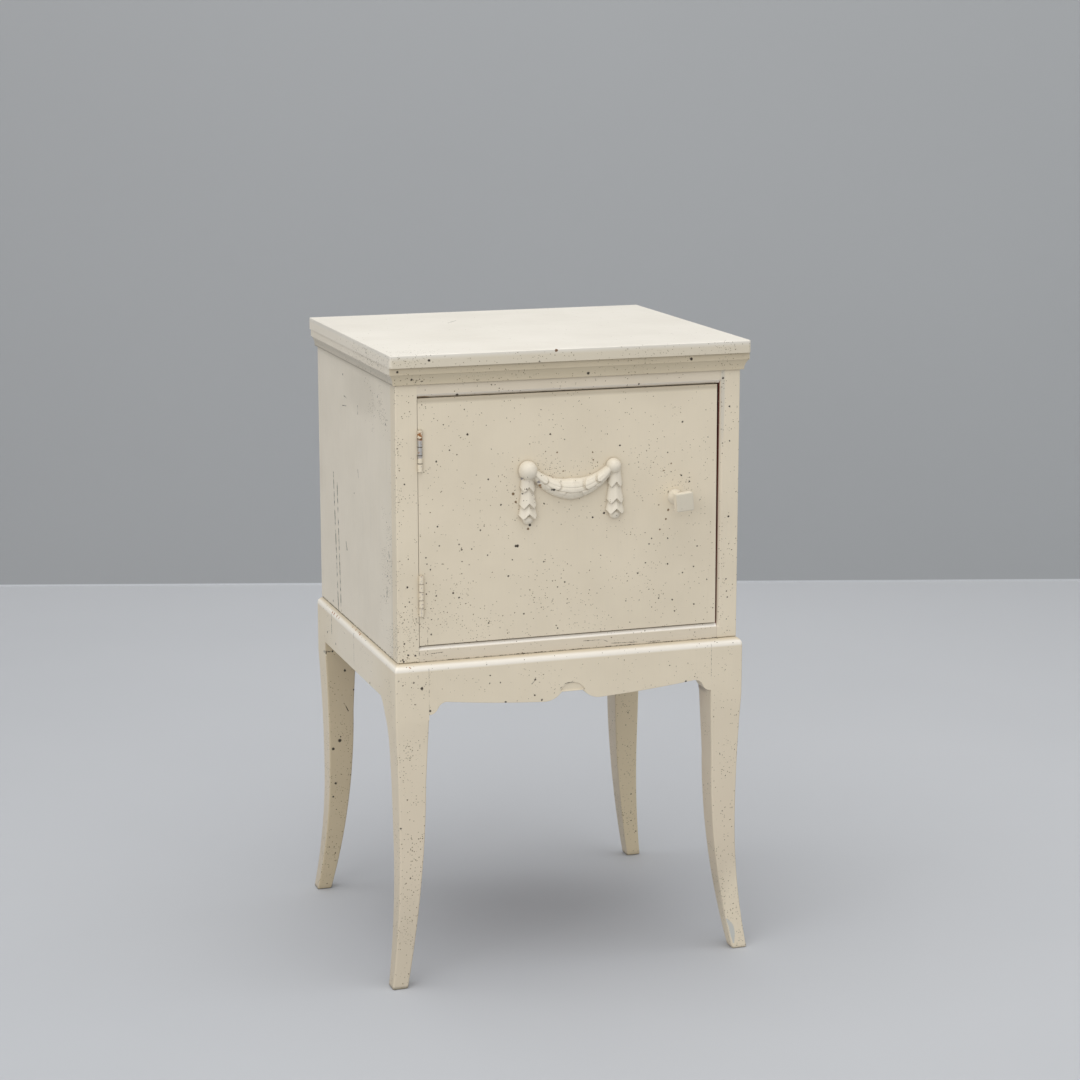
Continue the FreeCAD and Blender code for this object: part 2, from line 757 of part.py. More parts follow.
# The butt hinges: leaves on the stile and in the door's edge, knuckles in turn on one pin.
hinge_middles = {
    "upper": f"({DOOR_TOP} - hinge_inset - hinge_length / 2)",
    "lower": f"({DOOR_LOW} + hinge_inset + hinge_length / 2)",
}
hinge_sides = {"frame": ("-x", "-"), "door": ("+x", "+")}
leaf_screws = {side_name: [] for side_name in hinge_sides}
leaf_holes = {side_name: [] for side_name in hinge_sides}
hinge_recesses = []
for level, middle in hinge_middles.items():
    foot = f"({middle} - hinge_length / 2)"
    head = f"({middle} + hinge_length / 2)"
    pin = rod(
        f"hinge_{level}_pin",
        "pin_radius",
        "hinge_length + 2 * pin_overrun",
        "+z",
        AXIS_X,
        AXIS_Y,
        f"{foot} - pin_overrun",
    )
    finish(pin, f"hinge_{level}_pin")
    hinge_recesses.append(
        block(
            f"hinge_{level}_recess",
            (DOOR_HINGE_EDGE, f"({AXIS_X} + hinge_seat)"),
            (FRONT, f"({FRONT} + leaf_width + recess_spare)"),
            (f"({foot} - recess_spare)", f"({head} + recess_spare)"),
        )
    )
    for side_name, (along, sign) in hinge_sides.items():
        seat = f"({AXIS_X} {sign} hinge_seat)"
        inner_face = f"({AXIS_X} {sign} (hinge_seat - leaf_thick))"
        leaf_span = (inner_face, seat) if sign == "+" else (seat, inner_face)
        name = f"hinge_{level}_{side_name}"
        solids = [block(f"{name}_plate", leaf_span, (AXIS_Y, f"({FRONT} + leaf_width)"), (foot, head))]
        cuts = []
        for slot in range(KNUCKLES):
            low = f"({foot} + {slot} * hinge_length / {KNUCKLES})"
            high = f"({foot} + {slot + 1} * hinge_length / {KNUCKLES})"
            own = (slot % 2 == 0) == (side_name == "frame")
            if own:
                solids.append(
                    rod(
                        f"{name}_knuckle_{slot}",
                        "barrel_radius",
                        f"{high} - {low} - knuckle_gap",
                        "+z",
                        AXIS_X,
                        AXIS_Y,
                        f"{low} + knuckle_gap / 2",
                    )
                )
            else:
                cuts.append(
                    block(
                        f"{name}_notch_{slot}",
                        leaf_span,
                        (AXIS_Y, f"({AXIS_Y} + barrel_radius + knuckle_gap)"),
                        (f"({low} - knuckle_gap / 2)", f"({high} + knuckle_gap / 2)"),
                    )
                )
        cuts.append(
            rod(f"{name}_bore", "pin_radius + pin_clearance", "hinge_length", "+z", AXIS_X, AXIS_Y, foot)
        )
        for place in (-1, 0, 1):
            screw, hole = wood_screw(
                f"{name}_screw_{place + 1}",
                along,
                "small_screw_length",
                inner_face,
                f"{FRONT} + leaf_screw_inset",
                f"{middle} + {place} * leaf_screw_spread",
                small=True,
            )
            leaf_screws[side_name].append(screw)
            leaf_holes[side_name].append(hole)
            cuts.append(hole)
        finish(cut(f"{name}_leaf", fuse(f"{name}_blank", solids), cuts), f"{name}_leaf")
for side_name, screws in leaf_screws.items():
    finish(group(f"hinge_screw_set_{side_name}", screws), f"hinge_screws_{side_name}")

stile_height = ("stand_height", CASE_TOP)
stile_left = block("stile_left_blank", (f"-{CASE_SIDE}", f"-{OPENING_SIDE}"), FRAME_DEPTH, stile_height)
finish(cut("stile_left", stile_left, frame_mortises + leaf_holes["frame"]), "stile_left")
stile_right = block("stile_right_blank", (OPENING_SIDE, CASE_SIDE), FRAME_DEPTH, stile_height)
finish(cut("stile_right", stile_right, frame_mortises + [opening_bevel]), "stile_right")

door_stop = block(
    "door_stop",
    (f"({OPENING_SIDE} - stop_lap)", CASE_INSIDE),
    (FRAME_BACK, f"({FRAME_BACK} + stop_thick)"),
    (OPENING_LOW, CASE_TOP),
)
finish(door_stop, "door_stop")

# The top board, with its front corners and upper edge rounded.
TOP_SIDE = f"({CASE_SIDE} + top_side_overhang)"
TOP_FRONT = f"({FRONT} - top_front_overhang)"
TOP_BACK = f"({BACK} + top_back_overhang)"
top_corners = [
    (f"-{TOP_SIDE}", TOP_BACK),
    (f"-{TOP_SIDE}", f"{TOP_FRONT} + top_corner_round"),
    (f"-{TOP_SIDE} + top_corner_round", TOP_FRONT),
    (f"{TOP_SIDE} - top_corner_round", TOP_FRONT),
    (TOP_SIDE, f"{TOP_FRONT} + top_corner_round"),
    (TOP_SIDE, TOP_BACK),
]
top_bends = {1: ("top_corner_round", -1), 3: ("top_corner_round", -1)}
top = drawn("top", "XY_Plane", top_corners, top_bends, start=CASE_TOP, length="top_thick")
upper_face = value(f"{CASE_TOP} + top_thick")
rounded(top, "top_edge_round", lambda edge: flat_at(edge, "Z", upper_face))
finish(cut("top_drilled", top, top_holes + top_holes_left), "top_board")


# The cornice under the top: a fillet over a cove, mitred at the front corners.
def cornice_profile(face, outward):
    turn = 1 if outward == "-" else -1
    foot = f"({CASE_TOP} - cornice_height)"
    fillet = f"({CASE_TOP} - fillet_height)"
    corners = [
        (face, foot),
        (f"{face} {outward} cove_foot_reach", foot),
        (f"{face} {outward} cove_foot_reach", f"{foot} + cove_foot_height"),
        (f"{face} {outward} cove_top_reach", fillet),
        (f"{face} {outward} cornice_reach", fillet),
        (f"{face} {outward} cornice_reach", CASE_TOP),
        (face, CASE_TOP),
    ]
    return corners, {2: ("cove_round", -turn)}


front_plan = [
    (f"-{CASE_SIDE} - cornice_reach", f"{FRONT} - cornice_reach"),
    (f"{CASE_SIDE} + cornice_reach", f"{FRONT} - cornice_reach"),
    (CASE_SIDE, FRONT),
    (f"-{CASE_SIDE}", FRONT),
]
side_plan = [
    (CASE_SIDE, FRONT),
    (f"{CASE_SIDE} + cornice_reach", f"{FRONT} - cornice_reach"),
    (f"{CASE_SIDE} + cornice_reach", BACK),
    (CASE_SIDE, BACK),
]
cornice_front = common(
    "cornice_front",
    drawn("cornice_front_profile", "YZ_Plane", *cornice_profile(FRONT, "-")),
    drawn("cornice_front_plan", "XY_Plane", front_plan),
)
finish(cornice_front, "cornice_front")
cornice_right = common(
    "cornice_right",
    drawn("cornice_side_profile", "XZ_Plane", *cornice_profile(CASE_SIDE, "+")),
    drawn("cornice_side_plan", "XY_Plane", side_plan),
)
finish(cornice_right, "cornice_right")
finish(mirrored("cornice_left", cornice_right), "cornice_left")

# The door: a panel between upright lippings, its lock edge planed out of square.
LIP_HINGE = f"({DOOR_HINGE_EDGE} + lipping_width)"
LOCK_TOP = f"({OPENING_SIDE} - door_gap_lock_top)"
LOCK_LOW = f"({OPENING_SIDE} - door_gap_lock_low)"
LIP_LOCK = f"({LOCK_TOP} - lipping_width)"
DOOR_BACK = f"({FRONT} + door_thick)"
DOOR_DEPTH = (FRONT, DOOR_BACK)
DOOR_RISE = (DOOR_LOW, DOOR_TOP)
knob_screw, knob_hole = wood_screw(
    "knob_screw",
    "-y",
    "door_thick + screw_grip",
    KNOB_X,
    DOOR_BACK,
    KNOB_Z,
)
panel = block("door_panel_blank", (LIP_HINGE, LIP_LOCK), DOOR_DEPTH, DOOR_RISE)
finish(cut("door_panel", panel, leaf_holes["door"] + [knob_hole]), "door_panel")
lip_left = block("lipping_left_blank", (DOOR_HINGE_EDGE, LIP_HINGE), DOOR_DEPTH, DOOR_RISE)
finish(cut("door_lipping_left", lip_left, hinge_recesses + leaf_holes["door"]), "door_lipping_left")
lip_right_corners = [
    (LIP_LOCK, DOOR_LOW),
    (LOCK_LOW, DOOR_LOW),
    (LOCK_TOP, DOOR_TOP),
    (LIP_LOCK, DOOR_TOP),
]
lip_right = drawn("lipping_right", "XZ_Plane", lip_right_corners, start=FRONT, length="door_thick")
finish(lip_right, "door_lipping_right")

# The knob: a waisted neck turned on the lathe, and a square cap with a tapered back.
neck_corners = [
    ("0", "0"),
    ("neck_radius", "0"),
    ("neck_waist_radius", "-neck_length"),
    ("0", "-neck_length"),
]
neck = doc.addObject("PartDesign::Body", "knob_neck")
neck_sketch = neck.newObject("Sketcher::SketchObject", "knob_neck_outline")
neck_plane = [item for item in neck.Origin.OriginFeatures if item.Role == "XY_Plane"][0]
neck_sketch.AttachmentSupport = [(neck_plane, "")]
neck_sketch.MapMode = "FlatFace"
outline(neck_sketch, neck_corners, {1: ("neck_round", -1)})
neck_turn = neck.newObject("PartDesign::Revolution", "knob_neck_turning")
neck_turn.Profile = neck_sketch
neck_turn.ReferenceAxis = (neck_sketch, ["V_Axis"])
bind(neck, x=KNOB_X, y=FRONT, z=KNOB_Z)


def square_taper(name, near_width, far_width, near, far):
    """A square frustum below the neck's middle, standing out from the door between two distances."""
    item = doc.addObject("Part::Wedge", name)
    item.Placement = FreeCAD.Placement(Vector(), Rotation(Vector(0, 1, 0), -value("cap_turn_angle")))
    bind(item, x=KNOB_X, y=FRONT, z=f"{KNOB_Z} - cap_drop", Ymin=f"-({far})", Ymax=f"-({near})")
    bind(item, Xmin=f"-{far_width} / 2", Xmax=f"{far_width} / 2")
    bind(item, Zmin=f"-{far_width} / 2", Zmax=f"{far_width} / 2")
    bind(item, X2min=f"-{near_width} / 2", X2max=f"{near_width} / 2")
    return bind(item, Z2min=f"-{near_width} / 2", Z2max=f"{near_width} / 2")


cap_back = square_taper(
    "cap_back", "cap_back_width", "cap_width", "neck_length", "neck_length + cap_flare")
cap_front = square_taper("cap_front", "cap_width", "cap_width", "neck_length + cap_flare", "knob_reach")
cap = fuse("cap", [cap_back, cap_front])
doc.recompute()
cap_soft = doc.addObject("Part::Fillet", "cap_soft")
cap_soft.Base = cap
cap_face = value(f"{FRONT} - neck_length")
cap_soft.Edges = [
    (index, value("cap_round"), value("cap_round"))
    for index, edge in enumerate(cap.Shape.Edges, start=1)
    if not flat_at(edge, "Y", cap_face)
]
knob_solid = fuse("knob_solid", [neck, cap_soft])
finish(cut("knob", knob_solid, [knob_hole]), "knob")
finish(knob_screw, "knob_screw")

# The garland: two domes, a swag of husks strung between them and a drop of husks below each.
def rosette_lift(radius):
    """How far a dome's centre stands out from the door's face."""
    return f"({radius} * sin(rosette_seat_angle * 1deg))"


for name, side in (("left", "-"), ("right", "")):
    radius = f"{name}_rosette_radius"
    rosette = doc.addObject("Part::Sphere", f"rosette_{name}")
    rosette.Placement = FreeCAD.Placement(Vector(), ALONG["-y"])
    bind(rosette, Radius=radius, Angle1="-rosette_seat_angle")
    bind(rosette, x=f"{side}rosette_place", y=f"{FRONT} - {rosette_lift(radius)}", z=ROSETTE_Z)
    finish(rosette, f"rosette_{name}")

door_face = value(FRONT)


def rosette_room(name):
    """The room that a dome takes in the garland."""
    radius = f"{name}_rosette_radius"
    across = value("rosette_place") * (-1 if name == "left" else 1)
    middle = Vector(across, door_face - value(rosette_lift(radius)), value(ROSETTE_Z))
    return Part.makeSphere(value(f"{radius} + garland_gap"), middle)


def drop_room():
    """The strip that the right-hand drop takes beside the swag's end."""
    edge = value("rosette_place - drop_low_width / 2 - garland_gap")
    low = Vector(edge, door_face - value("swag_relief"), 0)
    return Part.makeBox(value("rosette_place"), value("swag_relief"), value(ROSETTE_Z), low)


def blended(first, last, share):
    return first + (last - first) * share


def swag_section(share):
    """The half swag's middle, outward direction, width and relief: 0 at the dome, 1 in the middle."""
    turn = math.radians(value("swag_end_angle") * (1 - share))
    out = Vector(math.sin(turn), 0, -math.cos(turn))
    centre = Vector(0, door_face, value(f"{ROSETTE_Z} - swag_sag + swag_round"))
    width = blended(value("swag_end_width"), value("swag_width"), share)
    relief = blended(value("swag_end_relief"), value("swag_relief"), share)
    return centre + out * value("swag_round"), out, width, relief


def drop_section(share):
    """The drop's middle, outward direction, width and relief, from 0 at the dome to 1 at its foot."""
    drop = share * value("drop_length")
    middle = Vector(value("rosette_place"), door_face, value(ROSETTE_Z) - drop)
    width = blended(value("drop_top_width"), value("drop_low_width"), share)
    relief = blended(value("drop_top_relief"), value("drop_low_relief"), share)
    return middle, Vector(1, 0, 0), width, relief


def arch(section, size):
    """A low arched wire that stands on the door's face, at a share of its section's size."""
    middle, out, width, relief = section
    reach = out * (width * size / 2)
    crown = middle + Vector(0, -relief * size, 0)
    bow = Part.Arc(middle - reach, crown, middle + reach).toShape()
    return Part.Wire([bow, Part.LineSegment(middle + reach, middle - reach).toShape()])


def leaf_waste(section_at, share):
    """What is carved away past a husk's end to leave two leaf tips with a notch between them."""
    middle, out, width, relief = section_at(share)
    run = (middle - section_at(share - TOLERANCE)[0]).normalize()
    outer = out * width
    tip = out * (width * LEAF_TIP)
    shoulder = run * value("leaf_shoulder")
    ring = [
        middle - outer + shoulder,
        middle - outer - shoulder,
        middle - tip,
        middle - run * value("leaf_notch"),
        middle + tip,
        middle + outer - shoulder,
        middle + outer + shoulder,
    ]
    face = Part.Face(Part.makePolygon(ring + ring[:1]))
    return face.extrude(Vector(0, -2 * relief, 0))


def husk_chain(section_at, ends):
    """Husks strung on a core, each flaring from its neck to its leaf tips."""
    stops = sorted({0, *ends, 1})
    solids = [Part.makeLoft([arch(section_at(share), HUSK_CORE) for share in stops], True, True)]
    for start, end in zip((0, *ends), ends):
        middle = (start + end) / 2
        swell = (HUSK_NECK + 1) / 2
        stages = ((start, HUSK_NECK), (middle, swell), (end, 1))
        husk = Part.makeLoft([arch(section_at(share), size) for share, size in stages], True, True)
        solids.append(husk.cut(leaf_waste(section_at, end)))
    return solids[0].multiFuse(solids[1:])


swag_half = husk_chain(swag_section, SWAG_HUSK_ENDS).cut(drop_room())
swag_whole = swag_half.fuse(swag_half.mirror(Vector(), Vector(1, 0, 0)))
swag = doc.addObject("Part::Feature", "swag")
swag.Shape = swag_whole.cut([rosette_room("left"), rosette_room("right")]).removeSplitter()
finish(swag, "swag")

bud = Part.makeSphere(value("bud_radius"), drop_section(1)[0], Vector(0, -1, 0), 0, 90, 360)
drop_right = husk_chain(drop_section, DROP_HUSK_ENDS).fuse(bud)
drop_left = drop_right.mirror(Vector(), Vector(1, 0, 0))
for name, shape in (("left", drop_left), ("right", drop_right)):
    drop = doc.addObject("Part::Feature", f"drop_{name}")
    drop.Shape = shape.cut(rosette_room(name)).removeSplitter()
    finish(drop, f"drop_{name}")

doc.recompute()

# Every object is sound before any sub-part is written.
for item in doc.Objects:
    if "Invalid" in item.State or "Error" in item.State:
        raise RuntimeError(f"{item.Name} failed: {item.State}")
for item in sub_parts:
    if item.Shape.isNull() or not item.Shape.isValid():
        raise RuntimeError(f"{item.Label} has no valid shape")

os.makedirs("parts", exist_ok=True)
for item in sub_parts:
    item.Shape.exportStep(f"parts/{item.Label}.step")
    print(f"{item.Label}: {len(item.Shape.Solids)} solids, {item.Shape.Volume:.0f} mm3")
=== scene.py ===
"""Looks of an old cream-painted nightstand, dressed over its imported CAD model."""
import math

import bpy
from mathutils import Matrix, Vector


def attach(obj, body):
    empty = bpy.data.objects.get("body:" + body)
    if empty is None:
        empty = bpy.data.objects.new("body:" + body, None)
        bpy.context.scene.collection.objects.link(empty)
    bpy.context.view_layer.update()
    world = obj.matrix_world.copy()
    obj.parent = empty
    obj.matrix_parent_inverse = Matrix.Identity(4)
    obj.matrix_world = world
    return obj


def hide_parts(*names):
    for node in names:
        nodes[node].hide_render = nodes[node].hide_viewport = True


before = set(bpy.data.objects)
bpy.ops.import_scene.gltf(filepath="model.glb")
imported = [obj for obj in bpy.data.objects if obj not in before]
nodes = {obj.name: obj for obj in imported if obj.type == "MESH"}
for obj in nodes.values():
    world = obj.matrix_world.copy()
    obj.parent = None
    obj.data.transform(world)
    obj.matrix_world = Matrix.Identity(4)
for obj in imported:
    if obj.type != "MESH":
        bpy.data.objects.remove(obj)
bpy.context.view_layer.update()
MM = 0.001


def linear(code):
    """An sRGB hex colour as linear red, green, blue and alpha."""
    channels = [int(code[start:start + 2], 16) / 255 for start in (1, 3, 5)]
    return [c / 12.92 if c <= 0.04045 else ((c + 0.055) / 1.055) ** 2.4 for c in channels] + [1]


def add(tree, kind, inputs=None, **settings):
    """Adds a node with its settings; an input is a value, a socket, or a node's shown output."""
    item = tree.nodes.new(f"ShaderNode{kind}")
    for name, setting in settings.items():
        setattr(item, name, setting)
    for name, source in (inputs or {}).items():
        if isinstance(source, bpy.types.Node):
            source = next(socket for socket in source.outputs if socket.enabled)
        if isinstance(source, bpy.types.NodeSocket):
            tree.links.new(source, item.inputs[name])
        else:
            item.inputs[name].default_value = source
    return item


def on_numbers(tree, operation, *values):
    return add(tree, "Math", dict(enumerate(values)), operation=operation)


def on_vectors(tree, operation, *values):
    return add(tree, "VectorMath", dict(enumerate(values)), operation=operation)


def ramp(tree, source, start=0, end=1, low=0, high=1):
    """Goes from low to high while the source goes from start to end, and stays level beyond."""
    return add(tree, "MapRange", {0: source, 1: start, 2: end, 3: low, 4: high})


def noise(tree, place, size, detail, **more):
    """Soft random patches, in the place's own units of size."""
    return add(tree, "TexNoise", {"Vector": place, "Scale": 1 / size, "Detail": detail, **more})


def new_material(name):
    material = bpy.data.materials.new(name)
    material.use_nodes = True
    material.node_tree.nodes.clear()
    return material, material.node_tree


def in_millimetres(tree):
    """The piece's own coordinates, in millimetres of the whole nightstand."""
    place = add(tree, "TexCoord").outputs["Object"]
    return add(tree, "VectorMath", {0: place, "Scale": 1 / MM}, operation="SCALE")


def painted_over(tree, share, under, code):
    return add(tree, "Mix", {0: share, 6: under, 7: linear(code)}, data_type="RGBA")


def give_surface(tree, inputs):
    surface = add(tree, "BsdfPrincipled", inputs)
    add(tree, "OutputMaterial", {"Surface": surface})


def larger(tree, total, mask):
    return mask if total is None else on_numbers(tree, "MAXIMUM", total, mask)


def zone_mask(tree, place, zones, core=0):
    """How much each zone gives: all of it up to a core's share of its reach, none past its reach."""
    total = None
    for centre, reach, extra in zones:
        offset = on_vectors(tree, "SUBTRACT", place, centre)
        share = on_vectors(tree, "DIVIDE", offset, reach)
        gap = on_vectors(tree, "LENGTH", share).outputs["Value"]
        total = larger(tree, total, ramp(tree, gap, 1, core, high=extra))
    return total


def speck_mask(tree, place, spacing, sizes, share):
    """Where specks show: at most one to a cell of the spacing, each with its own size."""
    cells = add(tree, "TexVoronoi", {"Vector": place, "Scale": 1 / spacing})
    chance = add(tree, "SeparateColor", {0: cells.outputs["Color"]})
    smallest, largest = (size / spacing for size in sizes)
    radius = ramp(tree, chance.outputs[1], low=smallest, high=largest)
    near = on_numbers(tree, "LESS_THAN", cells.outputs["Distance"], radius)
    there = on_numbers(tree, "LESS_THAN", chance.outputs[0], share)
    return on_numbers(tree, "MULTIPLY", near, there)


def crack_mask(tree, place, cracks):
    """Where hairline cracks run: each from one point to another, with a half width."""
    total = None
    for start, end, width in cracks:
        run = Vector(end) - Vector(start)
        offset = on_vectors(tree, "SUBTRACT", place, start)
        along = on_vectors(tree, "DOT_PRODUCT", offset, run / run.length_squared).outputs["Value"]
        held = add(tree, "Clamp", {0: along})
        foot = add(tree, "VectorMath", {0: run, "Scale": held}, operation="SCALE")
        gap = on_vectors(tree, "DISTANCE", offset, foot).outputs["Value"]
        total = larger(tree, total, ramp(tree, gap, width, width / 2))
    return total


def spot_mask(tree, place, spots, flat):
    """Where spots show: soft-edged blots round given points, each with a radius.

    flat shortens the axis that looks into the surface, so that a blot reaches further in along it.
    """
    solid_share = 0.6
    level = on_vectors(tree, "MULTIPLY", place, flat)
    total = None
    for *centre, radius in spots:
        target = [along * short for along, short in zip(centre, flat)]
        gap = on_vectors(tree, "DISTANCE", level, target).outputs["Value"]
        total = larger(tree, total, ramp(tree, gap, radius, radius * solid_share))
    return total


def hollow_dirt_and_shade_mask(tree, reach, open_from, closed_from, share):
    """How closed in a place is by the surfaces within a reach, in millimetres."""
    hollow = add(tree, "AmbientOcclusion", {"Distance": reach * MM}, samples=6)
    return ramp(tree, hollow.outputs["AO"], open_from, closed_from, high=share)


CREAM = "#DFD2BA"
# The top's cream is whiter and cooler as painted light, for the sheen and cool light from above.
CREAM_TOP = "#DED8CC"
CREAM_TOP_EDGE = "#D0C5AF"
# The sides' cream is paler and cooler as painted light, for the cool light on the left side.
CREAM_SIDE = "#E2D8C6"
# A darker cream for the front moulding: painted shade under the top's overhang.
CREAM_MOULDING_SHADE = "#CABCA1"
CREAM_RAIL = "#DACDB7"
CREAM_LEG = "#D6C8B1"
# A darker cream painted on the ledge's top as shade.
CREAM_LEDGE_SHADE = "#CDBFA6"
CREAM_CARVING = "#E3D9C6"
# A darker, browner cream for the back legs' fronts, and a lighter one for the right leg's.
CREAM_BROWNER = "#C5B597"
CREAM_BROWNER_RIGHT = "#D9C9A9"
# A pale cream painted as highlight, on the ledge's rounded edge and on the rails' bevels.
CREAM_HIGHLIGHT = "#F5EEE2"
SPECK = "#33291C"
SPECK_BROWN = "#5E4F3A"
SPECK_FAINT = "#85795F"
STAIN = "#6E5433"
EDGE_STAIN = "#6B4A2C"
RAIL_STAIN = "#8A6A48"
CARVING_STAIN = "#8A6138"
RUST = "#A3652A"
WORN = "#C6C0B2"
WORN_STILE = "#C3BDB0"
# A greyer cream for the face of the knob's cap.
GREY_KNOB_FACE = "#B9B19D"
GREY_CHIP = "#8F8987"
GREY_FOOT = "#BDBCB5"
# Grime, which also serves as painted shade in hollows and below the top rail.
GRIME_AND_SHADE = "#8F8167"
# Soil, which also serves as painted shade under the side mouldings.
SOIL_AND_SHADE = "#9A917F"
CRACK = "#3A3022"
RED_STAIN = "#6A2418"
WOOD_DARK = "#561C12"
WOOD_PALE = "#84402A"
STEEL = "#C9C6C1"
STEEL_RUST = "#96602C"

# Reaches in millimetres: one along the whole piece, and one past it, which hardly fades along it.
ALONG = 900
FAR = 2000
ALL_ROUND = (1, 1, 1)
SEEN_FROM_FRONT = (1, 0.08, 1)

# Specks by kind: the spacing of their cells, their least and largest radius, colour and weight.
# A pinprick finer than a third of a millimetre is drawn that size, since less wouldn't show.
SPECK_KINDS = (
    (2.3, (0.35, 0.65), SPECK_FAINT, 1.3),
    (4.3, (0.35, 0.7), SPECK_BROWN, 1),
    (8, (0.5, 1), SPECK, 0.8),
)
RAGGED_BY = 1.6
RAGGED_SIZE = 10 / 9
PATCH_SIZE = 60
CLUMP_SIZE = 38
CRACK_BREAKS = 7
SKIN_SIZE = 9
TINT_CORE = 0.5
PIT_DEPTH = 1.5
RELIEF = 0.3 * MM


def aged_paint(
    name,
    cream,
    brushing,
    share,
    zones=(),
    tints=(),
    cracks=(),
    spots=None,
    flat=ALL_ROUND,
    streak=0.2,
    reach=9,
    shade_and_dirt_from=0.75,
):
    """Old cream oil paint, brushed on wood and gone satin.

    It has fine brush lines, a faint patchiness, and pinprick specks where it has popped and dirt has
    lodged. brushing stretches the brush lines, in line spacings along x, y and z, and streak is how
    much they show. share is how many of the speck cells are filled, and zones add to it; tints are
    colours with the zones that they lie over, some of them painted light or shade. spots are lists of
    marks by colour. Hollows darken towards the grime colour, with dirt and with painted shade: reach
    is how near another surface that starts, and the threshold after it how open a hollow may be to
    darken.
    """
    material, tree = new_material(name)
    place = in_millimetres(tree)
    wander = noise(tree, place, RAGGED_SIZE, 1).outputs["Color"]
    wander = on_vectors(tree, "SUBTRACT", wander, (0.5, 0.5, 0.5))
    ragged = on_vectors(tree, "MULTIPLY_ADD", wander, (RAGGED_BY, RAGGED_BY, RAGGED_BY), place)

    patches = ramp(tree, noise(tree, place, PATCH_SIZE, 4), 0.35, 0.75, high=0.1)
    colour = painted_over(tree, patches, linear(cream), GRIME_AND_SHADE)
    strokes = on_vectors(tree, "MULTIPLY", place, [1 / length for length in brushing])
    strokes = noise(tree, strokes, 1, 4, Roughness=0.65)
    streaks = ramp(tree, strokes, 0.5, 0.8, high=streak)
    colour = painted_over(tree, streaks, colour, WORN)
    for code, where in tints:
        colour = painted_over(tree, zone_mask(tree, place, where, TINT_CORE), colour, code)
    # Hollows darken towards the grime colour: dirt, and painted shade where surfaces close in.
    colour = painted_over(tree, hollow_dirt_and_shade_mask(tree, reach, shade_and_dirt_from, 0.25, 0.6), colour, GRIME_AND_SHADE)

    clumps = ramp(tree, noise(tree, place, CLUMP_SIZE, 2), 0.42, 0.66, low=0.15)
    density = share
    if zones:
        density = on_numbers(tree, "ADD", zone_mask(tree, place, zones), share)
    density = on_numbers(tree, "MULTIPLY", clumps, density)
    pits = None
    for spacing, sizes, code, weight in SPECK_KINDS:
        filled = on_numbers(tree, "MULTIPLY", density, weight)
        specks = speck_mask(tree, ragged, spacing, sizes, filled)
        colour = painted_over(tree, specks, colour, code)
        pits = larger(tree, pits, specks)

    for code, marks in (spots or {}).items():
        blots = spot_mask(tree, ragged, marks, flat)
        colour = painted_over(tree, blots, colour, code)
        pits = larger(tree, pits, blots)
    if cracks:
        broken = ramp(tree, noise(tree, place, CRACK_BREAKS, 3), 0.38, 0.56)
        lines = on_numbers(tree, "MULTIPLY", crack_mask(tree, ragged, cracks), broken)
        colour = painted_over(tree, lines, colour, CRACK)
        pits = larger(tree, pits, lines)

    skin = noise(tree, place, SKIN_SIZE, 3)
    height = on_numbers(tree, "MULTIPLY_ADD", strokes, 0.5, skin)
    height = on_numbers(tree, "MULTIPLY_ADD", pits, -PIT_DEPTH, height)
    relief = add(tree, "Bump", {"Strength": 0.4, "Distance": RELIEF, "Height": height})
    gloss = ramp(tree, skin, low=0.42, high=0.58)
    give_surface(tree, {"Base Color": colour, "Roughness": gloss, "IOR": 1.5, "Normal": relief})
    return material


def stained_wood(name, grain):
    """Pine stained red-brown: the open grain shows as darker lines along the board."""
    material, tree = new_material(name)
    place = in_millimetres(tree)
    lines = on_vectors(tree, "MULTIPLY", place, [1 / length for length in grain])
    lines = noise(tree, lines, 1, 5, Distortion=0.6)
    shade = ramp(tree, lines, 0.3, 0.7)
    colour = painted_over(tree, shade, linear(WOOD_DARK), WOOD_PALE)
    relief = add(tree, "Bump", {"Strength": 0.4, "Distance": RELIEF, "Height": lines})
    gloss = ramp(tree, lines, low=0.5, high=0.7)
    give_surface(tree, {"Base Color": colour, "Roughness": gloss, "IOR": 1.5, "Normal": relief})
    return material


STEEL_SPOT = 2.5
EDGE_WANDER = 6
STEEL_RELIEF = 0.15 * MM
SHADE_AND_DIRT_REACH = 2.5
KNUCKLE_GAP_REACH = 0.9


